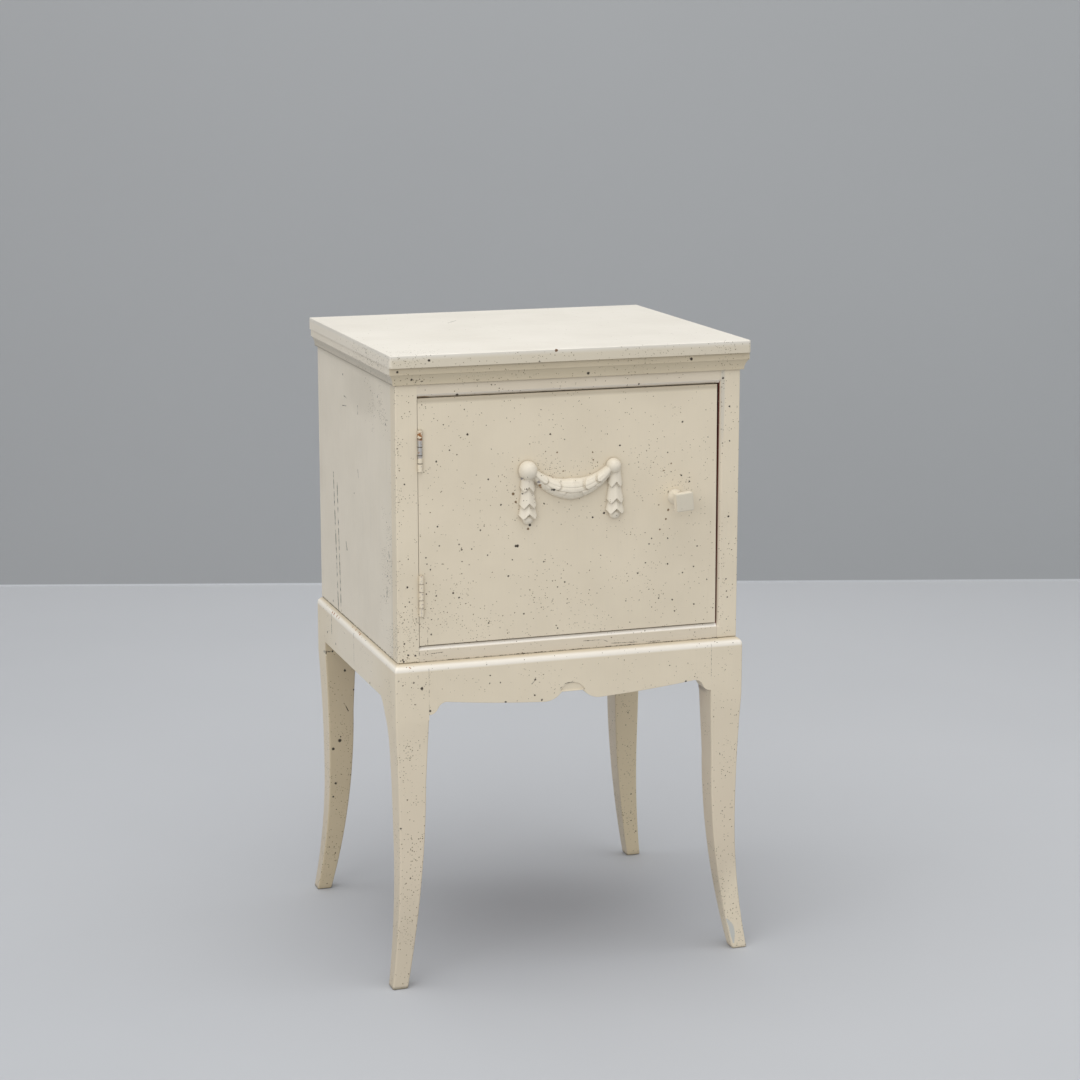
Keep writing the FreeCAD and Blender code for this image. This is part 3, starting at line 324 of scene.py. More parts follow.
def worn_steel(name, rust_from, paint_to, paint_from=FAR, knuckle_gaps=(), shade_and_dirt_share=0.8):
    """Rolled steel, dulled and pitted: grey metal with spots of rust, and here and there old paint.

    Above the height rust_from it is rust with scraps of paint, and below paint_to and above paint_from
    the paint still covers it, with rust in its cracks. Dirt and painted shade darken its hollows and
    the gaps between knuckles, at their heights.
    """
    material, tree = new_material(name)
    place = in_millimetres(tree)
    spots = noise(tree, place, STEEL_SPOT, 4)
    height = add(tree, "SeparateXYZ", {0: place}).outputs["Z"]
    height = on_numbers(tree, "MULTIPLY_ADD", spots, EDGE_WANDER, height)
    rusted = ramp(tree, height, rust_from + 2, rust_from + 4)
    scraps = on_numbers(tree, "MULTIPLY", ramp(tree, spots, 0.5, 0.44), rusted)
    rust = larger(tree, ramp(tree, spots, 0.6, 0.72), rusted)
    flakes = ramp(tree, spots, 0.62, 0.58)
    paint = ramp(tree, height, paint_to + 4, paint_to + 3)
    paint = on_numbers(tree, "MULTIPLY", paint, flakes)
    paint = larger(tree, paint, scraps)
    cap = ramp(tree, height, paint_from + 3, paint_from + 4)
    paint = larger(tree, paint, cap)
    colour = painted_over(tree, rust, linear(STEEL), STEEL_RUST)
    colour = painted_over(tree, paint, colour, CREAM)
    covered = larger(tree, rust, paint)
    # Dirt and painted shade darken the hollows and the gaps between the knuckles.
    if knuckle_gaps:
        shade_and_dirt = hollow_dirt_and_shade_mask(tree, SHADE_AND_DIRT_REACH, 0.75, 0.35, shade_and_dirt_share)
        gaps = [((0, 0, gap), (FAR, FAR, KNUCKLE_GAP_REACH), shade_and_dirt_share) for gap in knuckle_gaps]
        shade_and_dirt = larger(tree, shade_and_dirt, zone_mask(tree, place, gaps, 0.4))
        colour = painted_over(tree, shade_and_dirt, colour, SPECK_BROWN)
        covered = larger(tree, covered, shade_and_dirt)
    metal = ramp(tree, covered, low=1, high=0)
    gloss = ramp(tree, covered, low=0.4, high=0.7)
    relief = add(tree, "Bump", {"Strength": 0.5, "Distance": STEEL_RELIEF, "Height": spots})
    give_surface(tree, {"Base Color": colour, "Metallic": metal, "Roughness": gloss, "Normal": relief})
    return material


# Faces that carry marks, in millimetres: the door with its frame, the case's left side, the stand's
# front and left aprons, and the front of the back legs.
DOOR = -160
SIDE = -196.5
APRON = -167.5
LEFT_APRON = -201.5
LEG_FACE = 147.5

# Brush lines run along a board: their spacing across it, and how far one runs, in millimetres.
ALONG_X = (90, 1.6, 1.6)
ALONG_Y = (1.6, 90, 1.6)
UPRIGHT = (1.6, 1.6, 90)


def on_door(*marks):
    """Marks on the face of the door and its frame, from x, z and a radius in millimetres."""
    return [(x, DOOR, z, radius) for x, z, radius in marks]


def on_side(*marks):
    """Marks on the case's left side, from y, z and a radius in millimetres."""
    return [(SIDE, y, z, radius) for y, z, radius in marks]


door_holes = on_door(
    (-117, 611, 1.5), (-94, 561, 1.2), (-47, 508, 1.8), (-63, 486, 1.7), (-61, 486, 1.9), (38, 516, 1.6),
    (129, 612, 1.3), (-151, 513, 1.2), (-103, 506, 1), (-149, 492, 1), (-127, 492, 1), (-124, 486, 1.1),
    (-113, 486, 0.9), (-95, 478, 0.9), (-124, 473, 1), (-67, 471, 0.9), (-153, 437, 1.1),
    (-134, 439, 1.3), (-7, 442, 1.1), (78, 446, 1.2), (103, 416, 1.1), (119, 413, 1.2), (145, 406, 1.1),
    (122, 400, 1.1), (-54, 410, 1.2), (-15, 391, 1), (87, 457, 1), (113, 454, 1.2), (148, 472, 1),
    (131, 443, 1), (144, 449, 1), (160, 433, 1), (94, 484, 1), (91, 478, 1), (113, 483, 1),
    (-137, 595, 1), (112, 579, 1), (-164, 480, 0.9), (-163, 473, 0.8), (-164, 452, 0.8),
    (-164, 440, 0.9), (-159, 395, 1.2),
)
door_stains = on_door(
    (-66, 543.5, 1.9), (-63, 534.5, 1.5), (-16, 586, 1), (-9, 565, 1.1), (25.4, 575.5, 1.1),
    (-49, 504, 1.6), (24.6, 584, 1.1), (113.3, 514.7, 1.5), (110.6, 504.8, 1.4), (102, 521, 1.1),
    (103.5, 493.6, 1.2), (107.6, 559, 1.1), (116.2, 566.4, 1),
)
carving_holes = on_door(
    (-48, 509, 1.8), (-22.4, 547, 1.9), (-24.5, 547, 1.4), (-27.3, 564, 1.4), (37.4, 516.7, 1.5),
    (-53, 549.3, 1.2), (-56.4, 543.6, 1),
)
carving_stains = on_door((-37.2, 552.3, 1.7), (-36, 549.8, 1.3), (-21.4, 560.1, 1.6))
carving_chips = on_door((-57.4, 560.3, 2), (-39, 556, 2))
frame_holes = on_door(
    (-127.5, 654, 1.6), (77.7, 656.1, 1.3), (176, 658, 1.6), (185, 503, 1.4), (-185, 449, 1.4),
    (-187, 561, 1.2), (-177, 373, 1.3), (-185, 374, 1.2), (-189, 387, 1.1), (185, 588, 1),
    (183, 432, 1), (184, 418, 1), (185, 411, 1.1),
)
side_holes = on_side(
    (62, 649, 1.5), (-89, 645, 1.3), (-124, 625, 1.2), (-121, 620, 1.5), (18, 520, 1.2), (55, 448, 1.8),
    (-123, 471, 1.3), (-121, 454, 1.3), (-107, 428, 1.3), (125, 372, 1.5), (-155, 588, 1.4),
    (-155, 636, 1.3),
)
stand_holes = [
    (-172, APRON, 338, 2), (-181, APRON, 345, 1.3), (-198, -166.5, 348, 1.5), (-190, -167, 267, 1.4),
    (-186, -167, 261, 1.6), (-163, APRON, 312, 1.6), (-185, LEG_FACE, 193, 2.6),
    (-193, LEG_FACE, 183, 2.2), (-190, LEG_FACE, 139, 1.9), (-193, LEG_FACE, 122, 1.6),
    (-188.6, LEG_FACE, 37, 2), (-171.7, LEG_FACE, 148, 1.2), (-178, LEG_FACE, 280, 1.9),
    (-167, LEG_FACE, 255, 1.4), (LEFT_APRON, 136, 332, 1.8), (LEFT_APRON, 96, 327, 1.6),
    (LEFT_APRON, -59, 319, 1.5), (LEFT_APRON, 154, 304, 2), (-193, LEG_FACE, 305, 1.4),
    (-186.2, -163, 123.5, 1.6), (-196, -163, 181.2, 1.4), (166.7, -164, 180.7, 1.6),
    (189, LEG_FACE, 33, 1.6), (-43.4, APRON, 337, 1.5), (-44, APRON, 319.5, 1.2),
    (-77.5, APRON, 314.6, 1.5), (-35.7, APRON, 313.4, 1.4), (-95, APRON, 346, 1),
    (-95.5, APRON, 337, 1), (-83.6, APRON, 337, 1), (133.6, APRON, 320, 1.5), (114, APRON, 340, 0.9),
]
ledge_rust = [
    (-200, -9, 364, 2.6), (-199.5, -3, 364.5, 2.2), (-199.5, 11, 364.5, 2.2), (-199.5, 26, 364.5, 2),
    (-201, 113, 361, 1.8), (-201, 105, 361, 2), (-201, 92, 361.5, 2), (-201, 82, 361.5, 1.7),
    (-185, -167, 362, 1.4),
]
# A long chip down the front right foot's arris, made of spots that overlap.
foot_chip = [
    (187, -169, 34.5, 1.5), (188.6, -169.6, 32, 2.4), (189.9, -170.2, 29.5, 3), (191.2, -170.4, 27, 3.5),
    (192, -170.6, 24.5, 3.8), (192.5, -170.9, 22, 3.9), (192.8, -171.2, 19.5, 3.8),
    (193.2, -171.5, 17, 3.5), (193.5, -171.8, 14.5, 3), (193.7, -172.1, 12, 2.4), (193.9, -172.4, 9.5, 1.8),
    (194, -172.6, 7.5, 1.3),
]
# The last crack of the frame and of the side is the line where the case stands on the ledge.
frame_cracks = [
    ((-172.5, DOOR, 366), (-172.5, DOOR, 382), 0.5),
    ((-171, DOOR, 373), (-146, DOOR, 374.5), 0.4),
    ((15, DOOR, 374.2), (38, DOOR, 373.8), 0.35),
    ((38, DOOR, 373.8), (47, DOOR, 369), 0.4),
    ((47, DOOR, 369), (105, DOOR, 367), 0.45),
    ((-197, -160.4, 365.6), (197, -160.4, 365.6), 0.7),
]
side_cracks = [
    ((SIDE, 114, 527), (SIDE, 100, 368), 1.8),
    ((SIDE, 97, 517), (SIDE, 87, 368), 1.8),
    ((SIDE, -128, 482), (SIDE, -130, 476), 1.5),
    ((SIDE, -142, 474), (SIDE, -144, 464), 1.6),
    ((SIDE, -120, 440), (SIDE, -118, 430), 1.3),
    ((SIDE, -3, 622), (SIDE, -3, 614), 1.6),
    ((SIDE, 59, 456), (SIDE, 55, 448), 1.2),
    ((SIDE, 1, 550), (SIDE, -3, 541), 0.9),
    ((SIDE, 59, 625), (SIDE, 46, 624), 0.7),
    ((SIDE, 66, 613), (SIDE, 49, 615), 0.7),
    ((-196.7, -160, 365.6), (-196.7, 180, 365.6), 1.1),
]
# The stand's first two are its front joints; a double dark arc after them is painted shade along the
# lunette's edges.
stand_cracks_and_shade_lines = [
    ((-164, APRON, 366), (-164, APRON, 308), 0.3),
    ((164, APRON, 366), (164, APRON, 322), 0.22),
    ((LEFT_APRON, 11, 362), (LEFT_APRON, 11, 322), 0.5),
    ((LEFT_APRON, 115, 358), (LEFT_APRON, 115, 332), 1),
    ((-179, 149.8, 239), (-174, 150.3, 229), 0.8),
    ((-203, LEG_FACE, 306), (-196, LEG_FACE, 304.5), 0.8),
    ((-14, APRON, 325), (-9, APRON, 329.5), 0.6),
    ((-9, APRON, 329.5), (-1, APRON, 330.7), 0.6),
    ((-1, APRON, 330.7), (8.4, APRON, 327.5), 0.6),
    ((8.4, APRON, 327.5), (13.5, APRON, 321.4), 0.6),
    ((-12, APRON, 323.5), (-1.3, APRON, 326.4), 0.4),
    ((-1.3, APRON, 326.4), (9.4, APRON, 322.3), 0.4),
    ((-43, APRON, 337), (-47, APRON, 332.6), 0.7),
]

# The top's whiter cream is painted light; its front edge is given a darker cream, and its left end the
# sides' cream.
top_paint = aged_paint(
    "cream_oil_paint_top", CREAM_TOP, ALONG_X, 0.02,
    zones=[((-205, -172, 692), (180, 190, 10), 2.2), ((60, -172, 692), (400, 30, 9), 1)],
    tints=[
        (CREAM_TOP_EDGE, [((0, -172, 690), (ALONG, 4, 9), 0.9)]),
        (CREAM_SIDE, [((-205, 0, 690), (3, ALONG, 9), 0.7)]),
    ],
    spots={SPECK: [(-162, -171.5, 693.7, 1.8)], EDGE_STAIN: [(-20.8, -171.5, 698.5, 2)]},
    cracks=[((-66, 82, 700), (-51, 101, 700), 0.8)],
)
# The front moulding's darker cream is painted shade, and its hollows darken within a wider reach.
cornice_paint = aged_paint(
    "cream_oil_paint_cornice", CREAM_MOULDING_SHADE, ALONG_X, 0.4,
    zones=[((-200, -160, 676), (130, 120, 30), 0.5)],
    spots={
        SPECK: [
            (-195.4, -166, 682.3, 1.7), (-179.2, -165, 673.1, 1.6), (18, -165, 671.1, 2),
            (135.5, -167, 681.8, 2),
        ],
    },
    flat=SEEN_FROM_FRONT,
    reach=14,
)
cornice_side_paint = aged_paint(
    "cream_oil_paint_cornice_sides", CREAM_SIDE, ALONG_Y, 0.25,
    zones=[((-200, -160, 676), (60, 190, 30), 1.6)],
    # Painted shade at the foot of the side mouldings, with a darker line under them.
    tints=[(SOIL_AND_SHADE, [((-200, 0, 671), (9, ALONG, 9), 0.4), ((-200, 0, 667.5), (9, ALONG, 1.6), 0.9)])],
    cracks=[((-204, -50, 679), (-202, -50, 671), 0.8)],
    reach=6,
)
frame_paint = aged_paint(
    "cream_oil_paint_frame", CREAM, UPRIGHT, 0.22,
    zones=[
        ((-185, -160, 380), (40, 30, 80), 2), ((-185, -160, 372), (30, 30, 36), 5),
        ((185, -160, 500), (30, 30, 200), 0.25), ((-196, -160, 500), (7, 7, 300), 1.6),
        ((180, -160, 420), (20, 20, 60), 0.6), ((-185, -160, 480), (40, 30, 130), 0.35),
    ],
    tints=[
        (RED_STAIN, [((172.2, -156, 520), (1.7, 5, ALONG), 1)]),
        (WORN_STILE, [((176, -160, 640), (3, 3, 70), 0.6)]),
    ],
    cracks=frame_cracks,
    spots={SPECK: frame_holes},
    flat=SEEN_FROM_FRONT,
    reach=4,
)
rail_paint = aged_paint(
    "cream_oil_paint_rails", CREAM_RAIL, ALONG_X, 0.2,
    zones=[((-185, -160, 380), (60, 30, 60), 0.6)],
    tints=[
        # Pale cream painted as highlight on the lower rail's bevel and the upper rail's.
        (CREAM_HIGHLIGHT, [((0, -158, 380), (ALONG, 3.2, 3.2), 1), ((0, -158, 654.5), (ALONG, 4, 3), 0.6)]),
        (RAIL_STAIN, [((-165, -158, 653), (9, 5, 1.6), 0.9)]),
    ],
    cracks=frame_cracks,
    spots={SPECK: frame_holes},
    flat=SEEN_FROM_FRONT,
    reach=3,
)
# The sides' paler, cooler cream is painted light.
side_paint = aged_paint(
    "cream_oil_paint_sides", CREAM_SIDE, UPRIGHT, 0.14,
    zones=[((-196, -150, 450), (30, 70, 160), 1.3), ((-196, -100, 640), (30, 110, 60), 0.8)],
    tints=[(SOIL_AND_SHADE, [((SIDE, -20, 640), (20, 90, 30), 0.15), ((SIDE, -148, 430), (20, 14, 120), 0.2)])],
    cracks=side_cracks,
    spots={SPECK: side_holes},
    streak=0.35,
)
door_paint = aged_paint(
    "cream_oil_paint_door", CREAM, UPRIGHT, 0.16,
    zones=[
        ((115, DOOR, 560), (60, 30, 70), 0.6), ((-140, DOOR, 400), (100, 30, 90), 0.7),
        ((0, DOOR, 380), (240, 30, 90), 0.4), ((-30, DOOR, 550), (90, 30, 60), 0.35),
        ((-160, DOOR, 640), (40, 30, 40), 0.4), ((130, DOOR, 430), (60, 30, 80), 0.35),
        ((-22, DOOR, 574), (40, 30, 20), 1.5), ((28, DOOR, 578), (24, 30, 16), 1.2),
    ],
    # Painted shadow of the top rail along the top of the door, in the grime colour.
    tints=[(GRIME_AND_SHADE, [((0, DOOR, 651.5), (FAR, 6, 6), 0.4)])],
    cracks=[((-163, DOOR, 384), (-163, DOOR, 400), 0.6)],
    spots={SPECK: door_holes, STAIN: door_stains},
    flat=SEEN_FROM_FRONT,
    streak=0.12,
    reach=5,
)
carving_paint = aged_paint(
    "cream_oil_paint_carving", CREAM_CARVING, UPRIGHT, 0.05,
    zones=[((-45, -166, 545), (35, 40, 40), 0.3)],
    # The face of the knob's cap is greyer.
    tints=[(GREY_KNOB_FACE, [((121, -191, 528), (30, 2.5, 30), 0.45)])],
    spots={SPECK: carving_holes, CARVING_STAIN: carving_stains, GREY_CHIP: carving_chips},
    flat=SEEN_FROM_FRONT,
    streak=0.1,
    reach=4,
    # Its hollows darken early, painting shade into the carving's crevices.
    shade_and_dirt_from=0.96,
)
STAND_ZONES = [
    ((0, 0, 30), (ALONG, ALONG, 210), 0.75), ((-195, -160, 345), (60, 60, 90), 0.25),
    ((-190, -165, 50), (40, 40, 40), 0.9), ((-188, -166, 265), (30, 30, 90), 0.45),
    ((186, -166, 250), (30, 30, 60), 0.5),
]
stand_paint = aged_paint(
    "cream_oil_paint_stand", CREAM, UPRIGHT, 0.16,
    zones=STAND_ZONES,
    tints=[
        (CREAM_LEG, [((0, 0, 0), (FAR, FAR, 330), 1)]),
        # Soil on the lower legs; the feet take the colour fully in their last few millimetres.
        (SOIL_AND_SHADE, [((0, 0, 0), (ALONG, ALONG, 150), 0.3), ((0, 0, 0), (ALONG, ALONG, 5), 1)]),
        # The left apron takes the sides' paler, cooler cream, as painted light.
        (CREAM_SIDE, [((-202, 10, 340), (3, 150, 50), 0.7)]),
        (CREAM, [((200, -168, 35), (30, 30, 80), 0.8)]),
        # Painted highlight on the ledge's rounded edge, and painted shade on its top.
        (CREAM_HIGHLIGHT, [((0, 0, 360.3), (FAR, FAR, 4.6), 0.8)]),
        (CREAM_LEDGE_SHADE, [((0, 0, 366), (FAR, FAR, 4.4), 0.85)]),
    ],
    cracks=stand_cracks_and_shade_lines,
    spots={SPECK: stand_holes, RUST: ledge_rust, GREY_FOOT: foot_chip},
    streak=0.12,
)
# Paint for the back legs' fronts, darker and browner.
browner_paint = aged_paint(
    "cream_oil_paint_browner", CREAM_BROWNER, UPRIGHT, 0.3,
    zones=STAND_ZONES,
    tints=[(CREAM_BROWNER_RIGHT, [((190, 148, 180), (60, 60, 600), 0.8)])],
    cracks=stand_cracks_and_shade_lines,
    spots={SPECK: stand_holes},
    flat=SEEN_FROM_FRONT,
    streak=0.1,
)
raw_wood = stained_wood("stained_pine_boards", (1.8, 1.8, 70))
shelf_wood = stained_wood("stained_pine_shelves", (70, 1.8, 1.8))
cleat_wood = stained_wood("stained_pine_cleats", (1.8, 70, 1.8))

UPPER_HINGE_FOOT = 573.8
LOWER_HINGE_FOOT = 416.2
KNUCKLE = 8.9
KNUCKLE_GAPS = (1, 2, 3, 4)
upper_hinge = worn_steel(
    "worn_hinge_steel_upper",
    rust_from=608,
    paint_to=588,
    paint_from=616,
    knuckle_gaps=[UPPER_HINGE_FOOT + KNUCKLE * step for step in KNUCKLE_GAPS],
)
lower_hinge = worn_steel(
    "painted_hinge_steel_lower",
    rust_from=FAR,
    paint_to=FAR,
    knuckle_gaps=[LOWER_HINGE_FOOT + KNUCKLE * step for step in KNUCKLE_GAPS],
    shade_and_dirt_share=0.3,
)
steel = worn_steel("worn_screw_steel", rust_from=FAR, paint_to=-FAR)

SMOOTH_ANGLE = math.radians(35)
SHARP_ANGLE = math.radians(30)


def merge():
    """Welds the active piece's points and takes out its needless edges."""
    bpy.ops.object.mode_set(mode="EDIT")
    bpy.ops.mesh.select_all(action="SELECT")
    bpy.ops.mesh.remove_doubles(threshold=0.005 * MM)
    bpy.ops.mesh.dissolve_limited(angle_limit=math.radians(0.1))
    bpy.ops.object.mode_set(mode="OBJECT")


def copied(name, sources, body, slot, *materials):
    """A new piece from copies of CAD nodes, merged, that stands for them."""
    bpy.ops.object.select_all(action="DESELECT")
    for source in sources:
        piece = bpy.data.objects.new(name, nodes[source].data.copy())
        bpy.context.scene.collection.objects.link(piece)
        piece.select_set(True)
        bpy.context.view_layer.objects.active = piece
    if len(sources) > 1:
        bpy.ops.object.join()
    piece = bpy.context.view_layer.objects.active
    bpy.ops.object.mode_set(mode="EDIT")
    bpy.ops.mesh.customdata_custom_splitnormals_clear()
    bpy.ops.object.mode_set(mode="OBJECT")
    merge()
    piece.data.materials.clear()
    for material in materials:
        piece.data.materials.append(material)
    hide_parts(*sources)
    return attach(piece, body)


def painted(node, *materials):
    """A painted piece of the cabinet, from one CAD node."""
    return copied(f"painted_{node}", [node], "cabinet", "painted_wood", *materials)


def choose_faces(piece, chosen):
    """Selects just the faces of a piece that the test picks, and goes into edit mode."""
    bpy.ops.object.mode_set(mode="EDIT")
    bpy.ops.mesh.select_mode(type="FACE")
    bpy.ops.mesh.select_all(action="DESELECT")
    bpy.ops.object.mode_set(mode="OBJECT")
    for face in piece.data.polygons:
        face.select = chosen(face)
    bpy.ops.object.mode_set(mode="EDIT")


def round_arrises(piece, radius, joints=(), shortest=0):
    """Rounds a board's sharp arrises, but not where it meets the next board under the paint.

    A joint is a normal and a distance in millimetres: edges on or past that plane stay square. So do
    edges under the shortest length.
    """
    on_plane = 0.02
    mesh = piece.data
    bpy.ops.object.mode_set(mode="EDIT")
    bpy.ops.mesh.select_mode(type="EDGE")
    bpy.ops.mesh.select_all(action="DESELECT")
    bpy.ops.mesh.edges_select_sharp(sharpness=SHARP_ANGLE)
    bpy.ops.object.mode_set(mode="OBJECT")
    for edge in mesh.edges:
        ends = [mesh.vertices[index].co / MM for index in edge.vertices]
        in_joint = any(
            all(end @ Vector(normal) > reach - on_plane for end in ends) for normal, reach in joints
        )
        if in_joint or (ends[0] - ends[1]).length < shortest:
            edge.select = False
    for face in mesh.polygons:
        face.select = False
    bpy.ops.object.mode_set(mode="EDIT")
    bpy.ops.mesh.bevel(offset=radius * MM, segments=3, affect="EDGES")
    bpy.ops.object.mode_set(mode="OBJECT")
    bpy.ops.object.shade_smooth_by_angle(angle=SMOOTH_ANGLE)
    even = piece.modifiers.new("even_shading", "WEIGHTED_NORMAL")
    even.keep_sharp = True
    bpy.ops.object.modifier_apply(modifier="even_shading")


def leave_bare(piece, low, high):
    """Faces inside a box, in millimetres, keep the second material."""
    for face in piece.data.polygons:
        if all(a < c / MM < b for a, c, b in zip(low, face.center, high)):
            face.material_index = 1


# Boxes that hold the bare faces, and planes where boards meet, in millimetres.
CASE_INSIDE = ((-180.6, -156, 365.1), (180.6, 172.1, 686.6))
DOOR_INSIDE = ((-171, -156, 384), (180.6, 172.1, 651))
STAND_INSIDE = ((-182, -148, 316), (182, 166, 364))
LEG_X = 164
FRONT_LEG_BACK = -130
RAIL_X = 172.5
STILE_BACK = -141.7
MITRE = 36.5
LIP_LEFT = -163
LIP_RIGHT = 160.5

LEG_ROUNDING = 2
APRON_ROUNDING = 0.55
SIDE_ROUNDING = 1
STILE_ROUNDING = 1.2
RAIL_ROUNDING = 0.5
CORNICE_ROUNDING = 0.35
DOOR_ROUNDING = 0.7
SHORT_EDGE = 2
DOOR_SHORT_EDGE = 60

EAR_TOP = 300
EAR_LEAN = 0.12
EAR_TAPER = 0.3

leg_ends = {"front": ((0, 1, 0), FRONT_LEG_BACK), "back": ((0, -1, 0), -LEG_FACE)}
for side, sign in (("left", -1), ("right", 1)):
    for end, apron_joint in leg_ends.items():
        leg = painted(f"leg_{end}_{side}", stand_paint, browner_paint)
        round_arrises(leg, LEG_ROUNDING, [((-sign, 0, 0), -LEG_X), apron_joint])
        # The back legs' fronts take the darker, browner paint.
        for face in leg.data.polygons:
            if end == "back" and face.normal.y < -0.7:
                face.material_index = 1
    apron = painted(f"apron_{side}", stand_paint, raw_wood)
    # The thin tip of its front ear leans in with the leg, so that no step shows where it ends.
    for vertex in apron.data.vertices:
        if vertex.co.y < 0:
            drop = max(0, EAR_TOP * MM - vertex.co.z)
            vertex.co.y -= EAR_LEAN * drop
            vertex.co.x *= 1 - EAR_TAPER * drop
    round_arrises(apron, APRON_ROUNDING, [((0, -1, 0), -FRONT_LEG_BACK), ((0, 1, 0), LEG_FACE)])
    leave_bare(apron, *STAND_INSIDE)
    panel = painted(f"side_{side}", side_paint, raw_wood)
    round_arrises(panel, SIDE_ROUNDING, [((0, -1, 0), -STILE_BACK)], SHORT_EDGE)
    leave_bare(panel, *CASE_INSIDE)
    stile = painted(f"stile_{side}", frame_paint, raw_wood)
    stile_joints = [((-sign, 0, 0), -RAIL_X), ((0, 1, 0), STILE_BACK)]
    round_arrises(stile, STILE_ROUNDING, stile_joints, SHORT_EDGE)
    if side == "right":
        leave_bare(stile, *CASE_INSIDE)
    cornice = painted(f"cornice_{side}", cornice_side_paint)
    round_arrises(cornice, CORNICE_ROUNDING, [((-sign, -1, 0), -MITRE)])

for end in ("front", "back"):
    apron = painted(f"apron_{end}", stand_paint, raw_wood)
    round_arrises(apron, APRON_ROUNDING, [((1, 0, 0), LEG_X), ((-1, 0, 0), LEG_X)])
    leave_bare(apron, *STAND_INSIDE)
for level in ("top", "bottom"):
    rail = painted(f"rail_{level}", rail_paint, raw_wood)
    round_arrises(rail, RAIL_ROUNDING, [((1, 0, 0), RAIL_X), ((-1, 0, 0), RAIL_X)])
    leave_bare(rail, *CASE_INSIDE)
cornice = painted("cornice_front", cornice_paint)
round_arrises(cornice, CORNICE_ROUNDING, [((1, 1, 0), MITRE), ((-1, 1, 0), MITRE)])
top = copied("painted_top", ["top_board"], "cabinet", "painted_wood", top_paint, raw_wood)
# Its underside is cut along the case's front: paint covers the part that overhangs.
choose_faces(top, lambda face: face.normal.z < -0.9)
bpy.ops.mesh.bisect(plane_co=(0, DOOR * MM, 0), plane_no=(0, 1, 0))
bpy.ops.object.mode_set(mode="OBJECT")
bpy.ops.object.shade_smooth_by_angle(angle=SMOOTH_ANGLE)
leave_bare(top, *CASE_INSIDE)

# The door's three boards, glued edge to edge, are one surface under the paint.
door_boards = ["door_panel", "door_lipping_left", "door_lipping_right"]
boards = copied("painted_door", door_boards, "door", "painted_wood", door_paint, raw_wood)


def in_a_seam(face):
    faces_across = abs(face.normal.x) > 0.9
    return faces_across and any(abs(face.center.x / MM - seam) < 0.05 for seam in (LIP_LEFT, LIP_RIGHT))


choose_faces(boards, in_a_seam)
bpy.ops.mesh.delete(type="ONLY_FACE")
bpy.ops.object.mode_set(mode="OBJECT")
merge()
# Coats of paint have built up the top edge, most at the hinges, and narrowed the gap above it.
DOOR_UPPER_PART = 640
TOP_BUILD = 0.6
TOP_BUILD_SLOPE = 0.2
for vertex in boards.data.vertices:
    if vertex.co.z > DOOR_UPPER_PART * MM:
        vertex.co.z += (TOP_BUILD - TOP_BUILD_SLOPE * vertex.co.x / (RAIL_X * MM)) * MM
round_arrises(boards, DOOR_ROUNDING, shortest=DOOR_SHORT_EDGE)
leave_bare(boards, *DOOR_INSIDE)

knob = copied("painted_knob", ["knob"], "door", "painted_wood", carving_paint)
# Paint has thickened the neck towards the door, most of all below.
KNOB_AXIS = Vector((121, 0, 532)) * MM
CAP_BACK = -177
NECK_LENGTH = 17
NECK_SWELL = 0.25
NECK_SAG = Vector((0, 0, -2.8)) * MM
SCREW_HOLE = 4
for vertex in knob.data.vertices:
    share = max(0, (vertex.co.y / MM - CAP_BACK) / NECK_LENGTH)
    out = vertex.co - KNOB_AXIS
    out.y = 0
    if out.length > SCREW_HOLE * MM:
        vertex.co += (out * NECK_SWELL + NECK_SAG) * share
bpy.ops.object.shade_smooth_by_angle(angle=SMOOTH_ANGLE)

# The garland: husks carved in low relief, their edges filled and softened by coats of paint. Sizes
# are in millimetres, and a leaf's tip is a share of the way to the swag's middle or the drop's foot.
DOME_X = 50
DOME_Z = 568.5
RIGHT_DOME = 0.88
RIGHT_DOME_SHIFT = 2
SWAG_ROUND = 56.7
SWAG_SAG = 23
SWAG_TURN = math.radians(56)
SWAG_MIDDLE = DOME_Z - SWAG_SAG + SWAG_ROUND
SWAG_END_WIDTH = 7
SWAG_SWELL = 17.5
SWAG_END_RELIEF = 7
SWAG_MORE_RELIEF = 3.5
SWAG_SEAM = 0.25
VEINS_FROM = 0.3
LEFT_TIPS = (0.42, 0.71, 1.3)
RIGHT_TIPS = (0.47, 0.76, 1.3)
LOWER_TIPS = (0.55, 0.85, 1.3)
LEAF_START = -0.15
DROP_LENGTH = 53
DROP_OVERRUN = 1.06
DROP_TOP_WIDTH = 14.5
DROP_FLARE = 7.5
DROP_TOP_RELIEF = 6.5
DROP_MORE_RELIEF = 2.5
DROP_TIPS = (0.44, 0.78, 1)
DROP_FOOT_RADIUS = 6.5
SUNK = 1
GRID_END = 0.999


def share_of_leaf(along, tips, back):
    """How far along its leaf a point is: 0 where it comes from under the one before, 1 at its tip."""
    start = LEAF_START
    for tip in tips:
        end = tip - back
        if along < end:
            return (along - start) / (end - start)
        start = end
    return None


def arched(across):
    return math.sqrt(max(0, 1 - across * across))


def groove(across, middle, width, depth):
    return depth * max(0, 1 - abs(across - middle) / width)


def upper_leaf_back(height):
    """How far the rounded end of an upper leaf falls back from its tip, by its height in the band."""
    peak = 0.7
    if height < peak:
        return 0.13 * ((height - peak) / peak) ** 2
    return 0.06 * ((height - peak) / 0.3) ** 2


def drop_leaf_back(edge):
    """How far a drop's leaf falls back from its two tips, towards its middle and its edges."""
    peak = 0.55
    if edge < peak:
        return 0.11 * (1 - edge / peak)
    return 0.08 * ((edge - peak) / 0.45) ** 1.5


